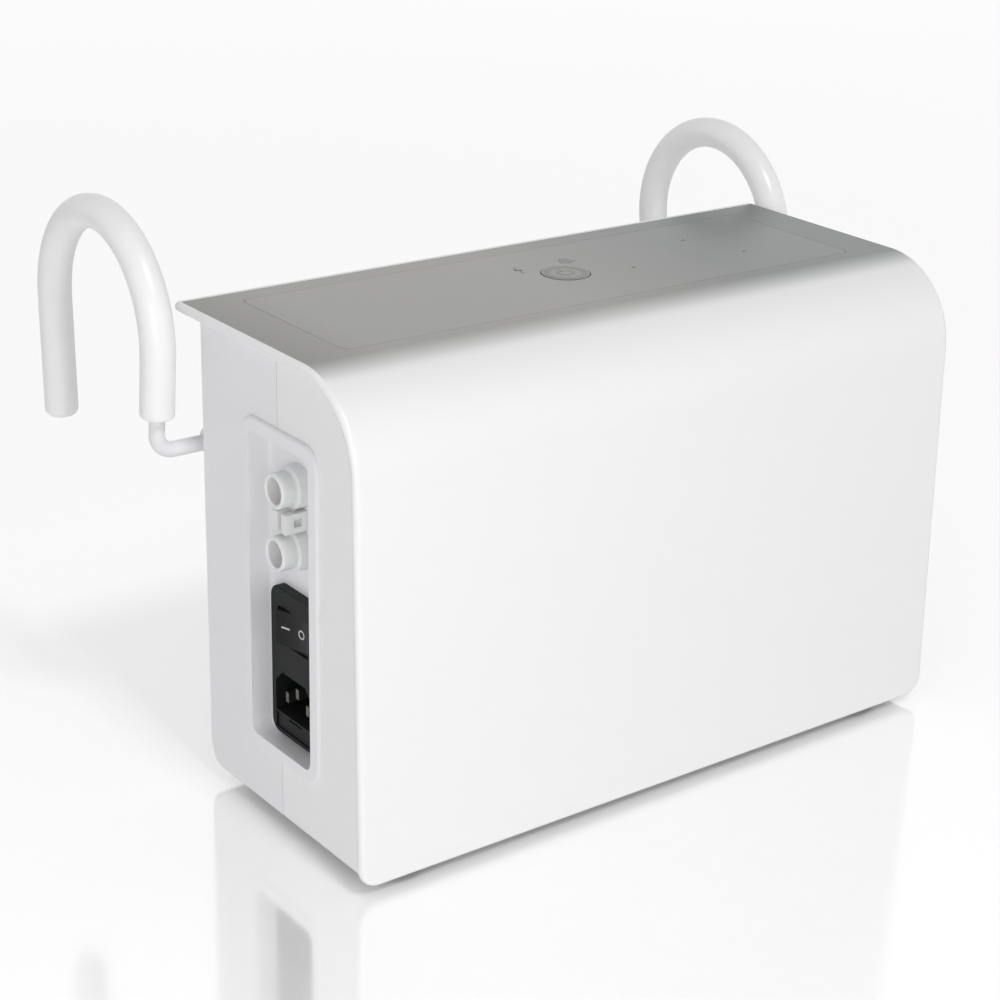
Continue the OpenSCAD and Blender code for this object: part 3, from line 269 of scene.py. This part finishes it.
# Rear case, recess tray, rod clamps and filter door: the same white ABS from a
# spark-eroded tool, so the skin is a little duller. The tray is snapped into the end
# wall, the clamps are screwed on and the door is hinged at its lower edge.
case_abs, tree, shader, place = begin("satin_ABS_white", "#ececee",
                                      Roughness=0.38, Coat_Weight=0.08, Coat_Roughness=0.2)
grain(tree, shader, place, 0.0009, 0.0000025, (0.34, 0.42))
for node in ("rear_case", "port_panel", "rod_clamps", "filter_door"):
    cover(node, case_abs)

# Air ports: two stepped spigots and the keeper of the hose connector on one plate of
# natural grey ABS, pushed into the tray from behind.
port_abs, tree, shader, place = begin("natural_ABS_pale_grey", "#e7e7e7",
                                      Roughness=0.34, Subsurface_Weight=0.05)
flow = grain(tree, shader, place, 0.0021, 0.000008, (0.3, 0.4))
tree.links.new(ramp(tree, flow, [(0.3, "#e5e5e4"), (0.7, "#e9e9e9")]),
               shader.inputs["Base Color"])
cover("air_ports", port_abs)

# Mains module: flange, inlet and drawer slot in one black flame-retardant nylon
# moulding with a fine matt skin. It is snapped into the tray.
module_nylon, tree, shader, place = begin("matt_nylon_black", "#181a19", Roughness=0.5,
                                          Specular_IOR_Level=0.2)
grain(tree, shader, place, 0.0006, 0.000006, (0.46, 0.58))
cover("inlet_module", module_nylon)
cover("fuse_drawer", module_nylon)

# Inlet pins: three flat pins of brass, nickel plated by barrel. Their colour is painted dark
# grey, as the shade they sit in deep in the socket, and the flats are slightly uneven. They are
# pressed into the module.
pin_nickel, tree, shader, place = begin("nickel_on_brass_painted_dark", "#6f6d69",
                                        Metallic=1.0, Roughness=0.4)
grain(tree, shader, place, 0.0008, 0.000003, (0.34, 0.48))
cover("inlet_pins", pin_nickel)

# Rocker: black polycarbonate with a smooth dished face that rocks on two stub pins.
# Its two marks, a bar for on and a ring for off, are hot stamped in pale grey.
rocker_pc, tree, shader, place = begin("polished_polycarbonate_black", "#181a19",
                                       Roughness=0.35, Specular_IOR_Level=0.2)
grain(tree, shader, place, 0.0012, 0.000003, (0.26, 0.36))
cover("rocker_switch", rocker_pc)

stamp_foil, tree, shader, place = begin("hot_stamp_foil_grey", "#c4c6c4", Roughness=0.5)
wear = grain(tree, shader, place, 0.0004, 0.000004, (0.42, 0.6))
tree.links.new(ramp(tree, wear, [(0.3, "#b7b9b7"), (0.6, "#cccecc")]),
               shader.inputs["Base Color"])


def arc(inner, outer, start, end, steps=28):
    """Band between two radii, as pairs of points in millimetres."""
    turns = [math.radians(start + (end - start) * i / steps) for i in range(steps + 1)]
    return [((inner * math.cos(t), inner * math.sin(t)),
             (outer * math.cos(t), outer * math.sin(t))) for t in turns]


def bar(x0, y0, x1, y1, width, steps=6):
    """Straight band from one point to another, as pairs of points in millimetres."""
    run = Vector((x1 - x0, y1 - y0))
    side = Vector((-run.y, run.x)).normalized() * width / 2
    spots = [Vector((x0, y0)) + run * i / steps for i in range(steps + 1)]
    return [(tuple(p - side), tuple(p + side)) for p in spots]


def stamp(name, bands, onto, centre, right, up, finish):
    """Prints bands on the outer surface of a CAD node, a hair proud of it."""
    lift, search = 0.00004, 0.03
    mesh = nodes[onto].data
    surface = BVHTree.FromPolygons([v.co for v in mesh.vertices],
                                   [p.vertices for p in mesh.polygons])
    out = right.cross(up)
    body = bmesh.new()
    for band in bands:
        rows = []
        for pair in band:
            feet = []
            for a, b in pair:
                above = centre + (right * a + up * b) / 1000 + out * search
                hit = surface.ray_cast(above, -out, 2 * search)[0]
                feet.append(hit if hit else above - out * search)
            rows.append([body.verts.new(p)
                         for p in (feet[0] - out * lift, feet[1] - out * lift,
                                   feet[1] + out * lift, feet[0] + out * lift)])
        for r, s in zip(rows, rows[1:]):
            for k in range(4):
                body.faces.new((r[k], r[(k + 1) % 4], s[(k + 1) % 4], s[k]))
        body.faces.new(rows[0][::-1])
        body.faces.new(rows[-1])
    bmesh.ops.remove_doubles(body, verts=body.verts, dist=1e-7)
    bmesh.ops.recalc_face_normals(body, faces=body.faces)
    made = bpy.data.meshes.new(name)
    body.to_mesh(made)
    body.free()
    made.materials.append(finish)
    piece = bpy.data.objects.new(name, made)
    bpy.context.scene.collection.objects.link(piece)
    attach(piece, frame["nodes"][onto]["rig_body"])


towards_front, upright = Vector((0, -1, 0)), Vector((0, 0, 1))
rocker_face = Vector((-0.1384, 0.0, 0.0))
stamp("rocker_on_mark", [bar(-1.9, 0, 1.9, 0, 0.7, 12)], "rocker_switch",
      rocker_face + Vector((0, 0.0051, 0.0814)), towards_front, upright,
      stamp_foil)
stamp("rocker_off_mark", [arc(1.25, 1.8, 0, 360)], "rocker_switch",
      rocker_face + Vector((0, -0.0032, 0.0815)), towards_front, upright,
      stamp_foil)

# Fuses: two glass tube fuses with nickel plated caps, lying in the drawer. The tubes are
# drawn as pale glossy glass, and the caps are told apart by their place along the tube.
fuse_glass, tree, shader, place = begin("glass_and_nickel_fuse", "#dfe6e4",
                                        Roughness=0.05, IOR=1.5)
tube_middle_y, glass_half = 0.0014, 0.0051
along = add(tree, "ShaderNodeSeparateXYZ", {"Vector": place}).outputs["Y"]
shifted = add(tree, "ShaderNodeMath", {0: along}, {1: tube_middle_y}, operation="SUBTRACT")
from_middle = add(tree, "ShaderNodeMath", {0: shifted.outputs[0]}, operation="ABSOLUTE")
cap = add(tree, "ShaderNodeMath", {0: from_middle.outputs[0]}, {1: glass_half},
          operation="GREATER_THAN")
tree.links.new(cap.outputs[0], shader.inputs["Metallic"])
tree.links.new(ramp(tree, cap.outputs[0], [(0.0, "#cdd8d6"), (1.0, "#c9c7c2")]),
               shader.inputs["Base Color"])
grain(tree, shader, place, 0.0015, 0.000002)
cover("fuses", fuse_glass)

# Control film: polyester label let into the top, printed grey on its back and hard coated, so
# it is smoother than the moulding round it. Its grey carries the same painted reflection shade
# as the top, lighter towards the port end.
film_pet, tree, shader, place = begin("hard_coated_polyester_film_painted_shade", "#9b9a96", Roughness=0.2)
# Same printed grey with painted reflection shade as the top.
tree.links.new(grey_print_with_painted_shade(tree, place), shader.inputs["Base Color"])
grain(tree, shader, place, 0.0035, 0.000002, (0.19, 0.21))
cover("control_film", film_pet)

# Round key: grey ABS cap in a hole of the film, with a dark ring and a plain on and off
# sign pad printed on it. The film has a mains sign, an alarm bell and dots over the
# lamps, printed in the same ink.
key_abs, tree, shader, place = begin("satin_ABS_grey", "#8a8986", Roughness=0.28)
grain(tree, shader, place, 0.0012, 0.000002, (0.25, 0.31))
cover("ring_key", key_abs)

print_ink, tree, shader, place = begin("pad_print_ink_dark_grey", "#747977", Roughness=0.35)
edge = grain(tree, shader, place, 0.0007, 0.000003, (0.32, 0.38))
tree.links.new(ramp(tree, edge, [(0.3, "#717674"), (0.7, "#777c7a")]),
               shader.inputs["Base Color"])
lamp_tint, tree, shader, place = begin("lamp_window_tint_black", "#303331", Roughness=0.25)
grain(tree, shader, place, 0.0007, 0.000002, (0.22, 0.28))
top_z = 0.1900
key_middle = Vector((0.0032, 0.0225, top_z))
x_axis, y_axis = Vector((1, 0, 0)), Vector((0, 1, 0))
stamp("key_ring_print", [arc(6.5, 8.8, 0, 360, 64), arc(2.3, 3.8, 125, 415, 32),
                         bar(0, 1.6, 0, 4.7, 1.4)], "ring_key",
      key_middle, x_axis, y_axis, print_ink)
stamp("mains_sign_print", [bar(0.9, 4.0, -0.9, 0.3, 1.3), bar(-1.4, 0.3, 1.4, -0.3, 1.3),
                           bar(0.9, -0.3, -0.9, -4.0, 1.3)],
      "control_film", Vector((-0.0102, 0.0352, top_z)), x_axis, y_axis, print_ink)
stamp("bell_sign_print", [arc(0.02, 2.6, 0, 180, 16), bar(-2.6, -0.9, 2.6, -0.9, 1.8),
                          bar(-3.6, -2.4, 3.6, -2.4, 1.2), bar(-0.9, -3.6, 0.9, -3.6, 1.0)],
      "control_film", Vector((0.0139, 0.0371, top_z)), x_axis, y_axis, print_ink)
for name, x, y in (("first", 0.031, 0.015), ("second", 0.0744, 0.0357),
                   ("third", 0.0846, 0.0099)):
    stamp(name + "_lamp_window", [arc(0.02, 0.9, 0, 360, 20)], "control_film",
          Vector((x, y, top_z)), x_axis, y_axis, lamp_tint)

# Light guides: acrylic rods under the film, smoked at their ends. They stand over the
# lamps and carry their light up to the dark dots in the film.
guide_pmma, tree, shader, place = begin("smoked_acrylic", "#6f7573", Roughness=0.12, IOR=1.49)
grain(tree, shader, place, 0.0009, 0.000002, (0.1, 0.18))
cover("status_light_guides", guide_pmma)

# Status lamps: one surface-mounted lamp under each guide, with a body of cream epoxy.
# They are reflow soldered to the keypad board.
lamp_epoxy, tree, shader, place = begin("lamp_epoxy_cream", "#d8cf8a", Roughness=0.35,
                                        Subsurface_Weight=0.2)
grain(tree, shader, place, 0.0005, 0.000004, (0.3, 0.42))
cover("status_leds", lamp_epoxy)

# Circuit boards: glass-fibre laminate under green solder resist, which is a little uneven
# over the weave. The copper tracks show through it as lines of a lighter green.
resist, tree, shader, place = begin("solder_resist_green_on_FR4", "#1d5a35", Roughness=0.32)
tracks = add(tree, "ShaderNodeTexBrick", {"Vector": place},
             {"Color1": (0, 0, 0, 1), "Color2": (0.15, 0.15, 0.15, 1), "Mortar": (1, 1, 1, 1),
              "Scale": 90.0, "Mortar Size": 0.035})
tree.links.new(ramp(tree, tracks.outputs["Color"], [(0.0, "#1a5230"), (1.0, "#2f7a4c")]),
               shader.inputs["Base Color"])
grain(tree, shader, place, 0.0011, 0.000006, (0.26, 0.4))
cover("keypad_board", resist)
cover("main_board", resist)

# Key switch and board parts: black moulded epoxy and nylon with a fine matt skin,
# soldered to the boards.
part_epoxy, tree, shader, place = begin("moulded_epoxy_black", "#2a2b2d", Roughness=0.48)
shade = grain(tree, shader, place, 0.0007, 0.000008, (0.4, 0.55))
tree.links.new(ramp(tree, shade, [(0.3, "#242527"), (0.7, "#303134")]),
               shader.inputs["Base Color"])
cover("key_switch", part_epoxy)
cover("board_parts", part_epoxy)


# Solder joints: rows of bright tin cones on the rear face of the main board, where the
# leads of its parts come through. They are set out on the board's grid.
def nodes_group(name, inputs):
    """Empty Geometry Nodes tree with named inputs; returns it, its inputs and its output."""
    group = bpy.data.node_groups.new(name, "GeometryNodeTree")
    group.interface.new_socket("Geometry", in_out="OUTPUT", socket_type="NodeSocketGeometry")
    for label, kind, value in inputs:
        socket = group.interface.new_socket(label, in_out="INPUT", socket_type=kind)
        if value is not None:
            socket.default_value = value
    return group, add(group, "NodeGroupInput").outputs, add(group, "NodeGroupOutput")


def grown(name, group, values, body, replaced=()):
    """Runs a tree on an empty mesh, keeps its result as a plain mesh and rides it."""
    holder = bpy.data.objects.new(name, bpy.data.meshes.new(name))
    bpy.context.scene.collection.objects.link(holder)
    modifier = holder.modifiers.new(name, "NODES")
    modifier.node_group = group
    for item in group.interface.items_tree:
        if item.in_out == "INPUT" and item.name in values:
            modifier[item.identifier] = values[item.name]
    bpy.context.view_layer.update()
    ready = holder.evaluated_get(bpy.context.evaluated_depsgraph_get())
    mesh = bpy.data.meshes.new_from_object(ready)
    holder.modifiers.clear()
    holder.data = mesh
    mesh.name = name
    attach(holder, body)
    if replaced:
        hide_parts(*replaced)


solder_tin, tree, shader, place = begin("reflowed_solder_tin", "#bfc2c4", Metallic=1.0,
                                        Roughness=0.28)
grain(tree, shader, place, 0.0006, 0.00001, (0.2, 0.36))
joints, given, end = nodes_group("solder_rows", [
    ("Length", "NodeSocketFloat", 0.1), ("Height", "NodeSocketFloat", 0.05),
    ("Columns", "NodeSocketInt", 12), ("Rows", "NodeSocketInt", 6),
    ("Joint radius", "NodeSocketFloat", 0.001), ("Middle", "NodeSocketVector", None),
    ("Seed", "NodeSocketInt", 7), ("Material", "NodeSocketMaterial", None)])
grid = add(joints, "GeometryNodeMeshGrid",
           {"Size X": given["Length"], "Size Y": given["Height"],
            "Vertices X": given["Columns"], "Vertices Y": given["Rows"]})
shake = add(joints, "FunctionNodeRandomValue", {"Seed": given["Seed"]}, data_type="FLOAT")
keep = add(joints, "FunctionNodeCompare", {"A": shake.outputs[1]}, {"B": 0.45},
           operation="GREATER_THAN")
cone = add(joints, "GeometryNodeMeshCone", {"Radius Bottom": given["Joint radius"]},
           {"Vertices": 10, "Radius Top": 0.00035, "Depth": 0.0009})
spread = add(joints, "GeometryNodeInstanceOnPoints",
             {"Points": grid.outputs["Mesh"], "Selection": keep.outputs[0],
              "Instance": cone.outputs["Mesh"]})
stood = add(joints, "GeometryNodeTransform", {"Geometry": spread.outputs[0],
                                              "Translation": given["Middle"]},
            {"Rotation": (-math.pi / 2, 0, 0)})
real = add(joints, "GeometryNodeRealizeInstances", {"Geometry": stood.outputs[0]})
dressed = add(joints, "GeometryNodeSetMaterial", {"Geometry": real.outputs[0],
                                                  "Material": given["Material"]})
joints.links.new(dressed.outputs[0], end.inputs[0])
board_low, board_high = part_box("main_board")
laminate_back, rows_z = 0.0020, 0.128
grown("solder_joints", joints, {
    "Length": 0.104, "Height": 0.058, "Columns": 27, "Rows": 15, "Joint radius": 0.0009,
    "Middle": ((board_low.x + board_high.x) / 2, board_low.y + laminate_back, rows_z),
    "Seed": 7, "Material": solder_tin}, "case")

# Hook rods: 6 mm steel wire, bent cold and powder coated pale grey, so the skin has the
# fine orange peel of the powder.
rod_powder, tree, shader, place = begin("powder_coat_pale_grey", "#e6e6e7", Roughness=0.36)
grain(tree, shader, place, 0.0011, 0.000006, (0.34, 0.38))
for node in ("left_hook_rod", "right_hook_rod"):
    cover(node, rod_powder)

# Hook sleeves: thick soft PVC, dip moulded over the rods so that the hooks don't mark a
# bed. The skin is glossy and white, and very slightly wavy.
sleeve_pvc, tree, shader, place = begin("dipped_PVC_white", "#f2f2f2", Roughness=0.3)
milk = grain(tree, shader, place, 0.008, 0.00001, (0.29, 0.31))
tree.links.new(ramp(tree, milk, [(0.25, "#f1f1f1"), (0.75, "#f3f3f3")]),
               shader.inputs["Base Color"])
for node in ("left_hook_sleeve", "right_hook_sleeve"):
    cover(node, sleeve_pvc)

# Push-on rings and screws: zinc-plated steel, with the faint blue and yellow mottle of
# the passivated plating.
zinc, tree, shader, place = begin("zinc_plated_steel", "#b9babd", Metallic=1.0, Roughness=0.3)
mottle = grain(tree, shader, place, 0.0018, 0.000004, (0.24, 0.38))
tree.links.new(ramp(tree, mottle, [(0.3, "#b4b6bb"), (0.55, "#bdbdbd"), (0.75, "#c2bfb4")]),
               shader.inputs["Base Color"])
for node in ("left_rod_rings", "right_rod_rings", "clamp_screws", "case_screws"):
    cover(node, zinc)

# Feet and rubber mounts: black moulded nitrile rubber with a matt, slightly dusty skin.
# The feet are pushed into seats under the case, and the mounts carry the compressor.
nitrile, tree, shader, place = begin("nitrile_rubber_black", "#232323", Roughness=0.75,
                                     Specular_IOR_Level=0.3)
dust = grain(tree, shader, place, 0.0009, 0.00002, (0.68, 0.85))
tree.links.new(ramp(tree, dust, [(0.3, "#1f1f1f"), (0.75, "#2b2b2a")]),
               shader.inputs["Base Color"])
cover("feet", nitrile)
cover("pump_mounts", nitrile)

# Filter foam: a pad of open-cell polyurethane foam, cut from a block and held by the
# door. Its pores are drawn at 1.2 mm, and its faces are a little crowned.
foam_pu, tree, shader, place = begin("open_cell_foam_charcoal", "#3a3b3d", Roughness=0.95,
                                     Specular_IOR_Level=0.1)
pores = add(tree, "ShaderNodeTexVoronoi", {"Vector": place}, {"Scale": 1 / 0.0012},
            feature="DISTANCE_TO_EDGE")
# Darker pore middles: painted shade inside the open cells.
tree.links.new(ramp(tree, pores.outputs["Distance"], [(0.0, "#4a4b4e"), (0.3, "#232426")]),
               shader.inputs["Base Color"])
cells = add(tree, "ShaderNodeBump", {"Height": pores.outputs["Distance"]},
            {"Distance": 0.0005, "Strength": 1.0}, invert=True)
tree.links.new(cells.outputs[0], shader.inputs["Normal"])
low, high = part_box("filter_foam")
pad = bmesh.new()
bmesh.ops.create_cube(pad, size=1)
bmesh.ops.subdivide_edges(pad, edges=pad.edges, cuts=11, use_grid_fill=True)
half = (high - low) / 2
edge_round, crown_height, clearance = 0.0004, 0.0010, 0.0001
for vertex in pad.verts:
    x, y, z = vertex.co * 2
    crown = (1 - x ** 4) * (1 - z ** 4)
    vertex.co = (low + high) / 2 + Vector((
        x * (half.x - edge_round * (abs(z) ** 6 + abs(y) ** 6)),
        y * (half.y - crown_height * (1 - crown) - clearance),
        z * (half.z - edge_round * (abs(x) ** 6 + abs(y) ** 6))))
bmesh.ops.recalc_face_normals(pad, faces=pad.faces)
pad_mesh = bpy.data.meshes.new("foam_pad")
pad.to_mesh(pad_mesh)
pad.free()
pad_mesh.materials.append(foam_pu)
foam_pad = bpy.data.objects.new("foam_pad", pad_mesh)
bpy.context.scene.collection.objects.link(foam_pad)
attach(foam_pad, "case")
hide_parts("filter_foam")

# Compressor base: pressure die-cast aluminium with a sand-grey cast skin, standing on
# four rubber mounts.
cast_alu, tree, shader, place = begin("die_cast_aluminium", "#a7a9ab", Metallic=1.0,
                                      Roughness=0.45)
skin = grain(tree, shader, place, 0.0013, 0.00003, (0.38, 0.55))
tree.links.new(ramp(tree, skin, [(0.3, "#9fa1a4"), (0.7, "#b0b2b4")]),
               shader.inputs["Base Color"])
cover("pump_base", cast_alu)

# Magnet core and transformer: stacks of varnished steel sheets, drawn as dark lines
# every 0.8 mm across the stack.
lamination, tree, shader, place = begin("varnished_steel_laminations", "#5a5c60",
                                        Metallic=0.8, Roughness=0.45)
sheet_pitch = 0.0008
sheets = add(tree, "ShaderNodeTexWave", {"Vector": place},
             {"Scale": 2 * math.pi / sheet_pitch / 20, "Distortion": 0.3, "Detail": 1.0},
             bands_direction="Y")
tree.links.new(ramp(tree, sheets.outputs["Fac"], [(0.0, "#303236"), (0.4, "#606267"),
                                                  (1.0, "#6b6d72")]),
               shader.inputs["Base Color"])
steps = add(tree, "ShaderNodeBump", {"Height": sheets.outputs["Fac"]},
            {"Distance": 0.00006, "Strength": 1.0})
tree.links.new(steps.outputs[0], shader.inputs["Normal"])
cover("pump_core", lamination)
cover("transformer", lamination)

# Coils: enamelled copper wire wound in layers round both ends of the core. Each turn is
# a round-cornered loop, and the turns lie side by side and on each other.
enamel, tree, shader, place = begin("enamelled_copper_wire", "#b5622f", Metallic=1.0,
                                    Roughness=0.26)
tone = grain(tree, shader, place, 0.004, 0.000004, (0.2, 0.34))
tree.links.new(ramp(tree, tone, [(0.3, "#a3532a"), (0.7, "#c27038")]),
               shader.inputs["Base Color"])
layers, wire_pitch, wire_radius = 6, 0.00074, 0.00036
coil, given, end = nodes_group("wound_coil", [
    ("Turns", "NodeSocketInt", 9), ("Pitch", "NodeSocketFloat", wire_pitch),
    ("Wire radius", "NodeSocketFloat", wire_radius),
    ("Inner width", "NodeSocketFloat", 0.018), ("Inner height", "NodeSocketFloat", 0.01),
    ("Middle", "NodeSocketVector", None), ("Material", "NodeSocketMaterial", None)])
span = add(coil, "ShaderNodeMath", {0: given["Turns"], 1: given["Pitch"]},
           operation="MULTIPLY")
line = add(coil, "GeometryNodeMeshLine", {"Count": given["Turns"]}, mode="OFFSET")
step = add(coil, "ShaderNodeCombineXYZ", {"Z": given["Pitch"]})
coil.links.new(step.outputs[0], line.inputs["Offset"])
loops = add(coil, "GeometryNodeJoinGeometry")
for layer in range(layers):
    room_out = add(coil, "ShaderNodeMath", {0: given["Pitch"]}, {1: 2 * layer + 1.0},
                   operation="MULTIPLY")
    wide = add(coil, "ShaderNodeMath", {0: given["Inner width"], 1: room_out.outputs[0]})
    tall = add(coil, "ShaderNodeMath", {0: given["Inner height"], 1: room_out.outputs[0]})
    loop = add(coil, "GeometryNodeCurvePrimitiveQuadrilateral",
               {"Width": wide.outputs[0], "Height": tall.outputs[0]})
    bend = add(coil, "GeometryNodeFilletCurve", {"Curve": loop.outputs[0]},
               {"Radius": 0.0008 + 0.00055 * layer, "Count": 3}, mode="POLY")
    turns = add(coil, "GeometryNodeInstanceOnPoints", {"Points": line.outputs[0],
                                                       "Instance": bend.outputs[0]})
    coil.links.new(turns.outputs[0], loops.inputs[0])
flat = add(coil, "GeometryNodeRealizeInstances", {"Geometry": loops.outputs[0]})
wire = add(coil, "GeometryNodeCurvePrimitiveCircle", {"Radius": given["Wire radius"]},
           {"Resolution": 6})
tube = add(coil, "GeometryNodeCurveToMesh", {"Curve": flat.outputs[0],
                                             "Profile Curve": wire.outputs[0]})
back = add(coil, "ShaderNodeMath", {0: span.outputs[0]}, {1: -0.5}, operation="MULTIPLY")
shift = add(coil, "ShaderNodeCombineXYZ", {"Z": back.outputs[0]})
centred = add(coil, "GeometryNodeTransform", {"Geometry": tube.outputs[0],
                                              "Translation": shift.outputs[0]})
stood = add(coil, "GeometryNodeTransform", {"Geometry": centred.outputs[0],
                                            "Translation": given["Middle"]},
            {"Rotation": (0, math.pi / 2, 0)})
real = add(coil, "GeometryNodeRealizeInstances", {"Geometry": stood.outputs[0]})
dressed = add(coil, "GeometryNodeSetMaterial", {"Geometry": real.outputs[0],
                                                "Material": given["Material"]})
coil.links.new(dressed.outputs[0], end.inputs[0])
coil_low, coil_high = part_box("pump_coil")
inset = 0.0035
for side, x in (("left", coil_low.x + inset), ("right", coil_high.x - inset)):
    grown(side + "_coil_turns", coil, {
        "Turns": 9, "Pitch": wire_pitch, "Wire radius": wire_radius,
        "Inner width": (coil_high.z - coil_low.z) - layers * 2 * wire_pitch,
        "Inner height": (coil_high.y - coil_low.y) - layers * 2 * wire_pitch,
        "Middle": (x, (coil_low.y + coil_high.y) / 2, (coil_low.z + coil_high.z) / 2),
        "Material": enamel}, "case",
        ("pump_coil",) if side == "left" else ())

# Magnet arms: stamped aluminium strips, brushed along one way. Each holds a magnet
# beside the core and turns on a pin at its front end.
sheet_alu, tree, shader, place = begin("stamped_aluminium", "#b3b5b8", Metallic=1.0,
                                       Roughness=0.34)
brush = add(tree, "ShaderNodeMapping", {"Vector": place}, {"Scale": (1.0, 0.08, 1.0)})
grain(tree, shader, brush.outputs[0], 0.0006, 0.000006, (0.28, 0.42))
cover("left_magnet_arm", sheet_alu)
cover("right_magnet_arm", sheet_alu)


# Bellows: moulded rubber, with round ribs that let it stretch along its length. Each is
# pushed between a magnet arm and its valve head.
def turned(name, profile, centre, finish, replaced, steps=48):
    """Turns a closed profile (along X, radius) round a line along X through a point."""
    body = bmesh.new()
    rings = []
    for along, radius in profile:
        rings.append([body.verts.new(centre + Vector((
            along, radius * math.cos(2 * math.pi * i / steps),
            radius * math.sin(2 * math.pi * i / steps)))) for i in range(steps)])
    for ring, following in zip(rings, rings[1:]):
        for i in range(steps):
            j = (i + 1) % steps
            body.faces.new((ring[i], ring[j], following[j], following[i]))
    body.faces.new(rings[0][::-1])
    body.faces.new(rings[-1])
    bmesh.ops.recalc_face_normals(body, faces=body.faces)
    for face in body.faces:
        face.smooth = len(face.verts) == 4
    made = bpy.data.meshes.new(name)
    body.to_mesh(made)
    body.free()
    made.materials.append(finish)
    piece = bpy.data.objects.new(name, made)
    bpy.context.scene.collection.objects.link(piece)
    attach(piece, "case")
    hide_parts(replaced)


rib_count, rib_depth, clearance, samples = 4, 0.0032, 0.0001, 60
for side in ("left", "right"):
    low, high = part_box(side + "_bellows")
    length, radius = high.x - low.x, (high.y - low.y) / 2
    ribs = []
    for i in range(samples + 1):
        wave = 0.5 - 0.5 * math.cos(2 * math.pi * rib_count * i / samples)
        ribs.append((length * i / samples, radius - rib_depth * wave - clearance))
    turned(side + "_ribbed_bellows", ribs,
           Vector((low.x, (low.y + high.y) / 2, (low.z + high.z) / 2)),
           nitrile, side + "_bellows")

# Valve heads: black glass-filled nylon, with the pale flow marks of the glass fibre.
# Each is a moulded block with a hose nipple, and stands on the compressor base.
filled_nylon, tree, shader, place = begin("glass_filled_nylon_black", "#2c2d2f", Roughness=0.52)
fibres = grain(tree, shader, place, 0.0024, 0.00001, (0.46, 0.62))
tree.links.new(ramp(tree, fibres, [(0.3, "#27282a"), (0.75, "#38393b")]),
               shader.inputs["Base Color"])
cover("valve_heads", filled_nylon)

# Air distributor: housing, rotor, gear and bracket of natural acetal, machined or
# moulded, which is milky and slightly waxy.
acetal, tree, shader, place = begin("natural_acetal", "#e2e0d8", Roughness=0.4,
                                    Subsurface_Weight=0.1)
shader.inputs["Subsurface Radius"].default_value = (0.002, 0.002, 0.002)
wax = grain(tree, shader, place, 0.002, 0.000008, (0.34, 0.48))
tree.links.new(ramp(tree, wax, [(0.3, "#dddbd2"), (0.7, "#e6e4dd")]),
               shader.inputs["Base Color"])
for node in ("valve_body", "valve_rotor", "valve_gear", "valve_bracket"):
    cover(node, acetal)

# Distributor motor: a drawn steel can, nickel plated, with faint lines up its side. It
# stands on the bracket, with its collar through it.
can_steel, tree, shader, place = begin("drawn_steel_can", "#c2c3c5", Metallic=1.0,
                                       Roughness=0.25)
draw_lines = add(tree, "ShaderNodeMapping", {"Vector": place}, {"Scale": (1.0, 1.0, 0.1)})
grain(tree, shader, draw_lines.outputs[0], 0.0007, 0.000004, (0.2, 0.32))
cover("valve_motor", can_steel)

# Pinion: brass, hobbed from bar, so its skin varies finely. It is pressed on the motor
# shaft.
brass, tree, shader, place = begin("hobbed_brass", "#c9a45a", Metallic=1.0, Roughness=0.3)
hob = grain(tree, shader, place, 0.0005, 0.000005, (0.24, 0.38))
tree.links.new(ramp(tree, hob, [(0.3, "#c19b50"), (0.7, "#d1ae68")]),
               shader.inputs["Base Color"])
cover("motor_pinion", brass)

# Air hoses inside: translucent silicone tube with a faint bloom. They are pushed on the
# nipples of the valve heads, the distributor and the ports.
silicone, tree, shader, place = begin("translucent_silicone", "#d9d8d2", Roughness=0.4,
                                      Subsurface_Weight=0.3)
shader.inputs["Subsurface Radius"].default_value = (0.003, 0.003, 0.003)
bloom = grain(tree, shader, place, 0.003, 0.00001, (0.34, 0.5))
tree.links.new(ramp(tree, bloom, [(0.3, "#d2d1ca"), (0.7, "#e0dfda")]),
               shader.inputs["Base Color"])
cover("air_hoses", silicone)

# Mains leads inside: blue PVC over stranded wire, slightly uneven from the strands. They
# run from the module to the main board.
lead_pvc, tree, shader, place = begin("lead_PVC_blue", "#27488c", Roughness=0.42)
twist = grain(tree, shader, place, 0.0016, 0.000015, (0.36, 0.5))
tree.links.new(ramp(tree, twist, [(0.3, "#234280"), (0.7, "#2c5098")]),
               shader.inputs["Base Color"])
cover("mains_leads", lead_pvc)
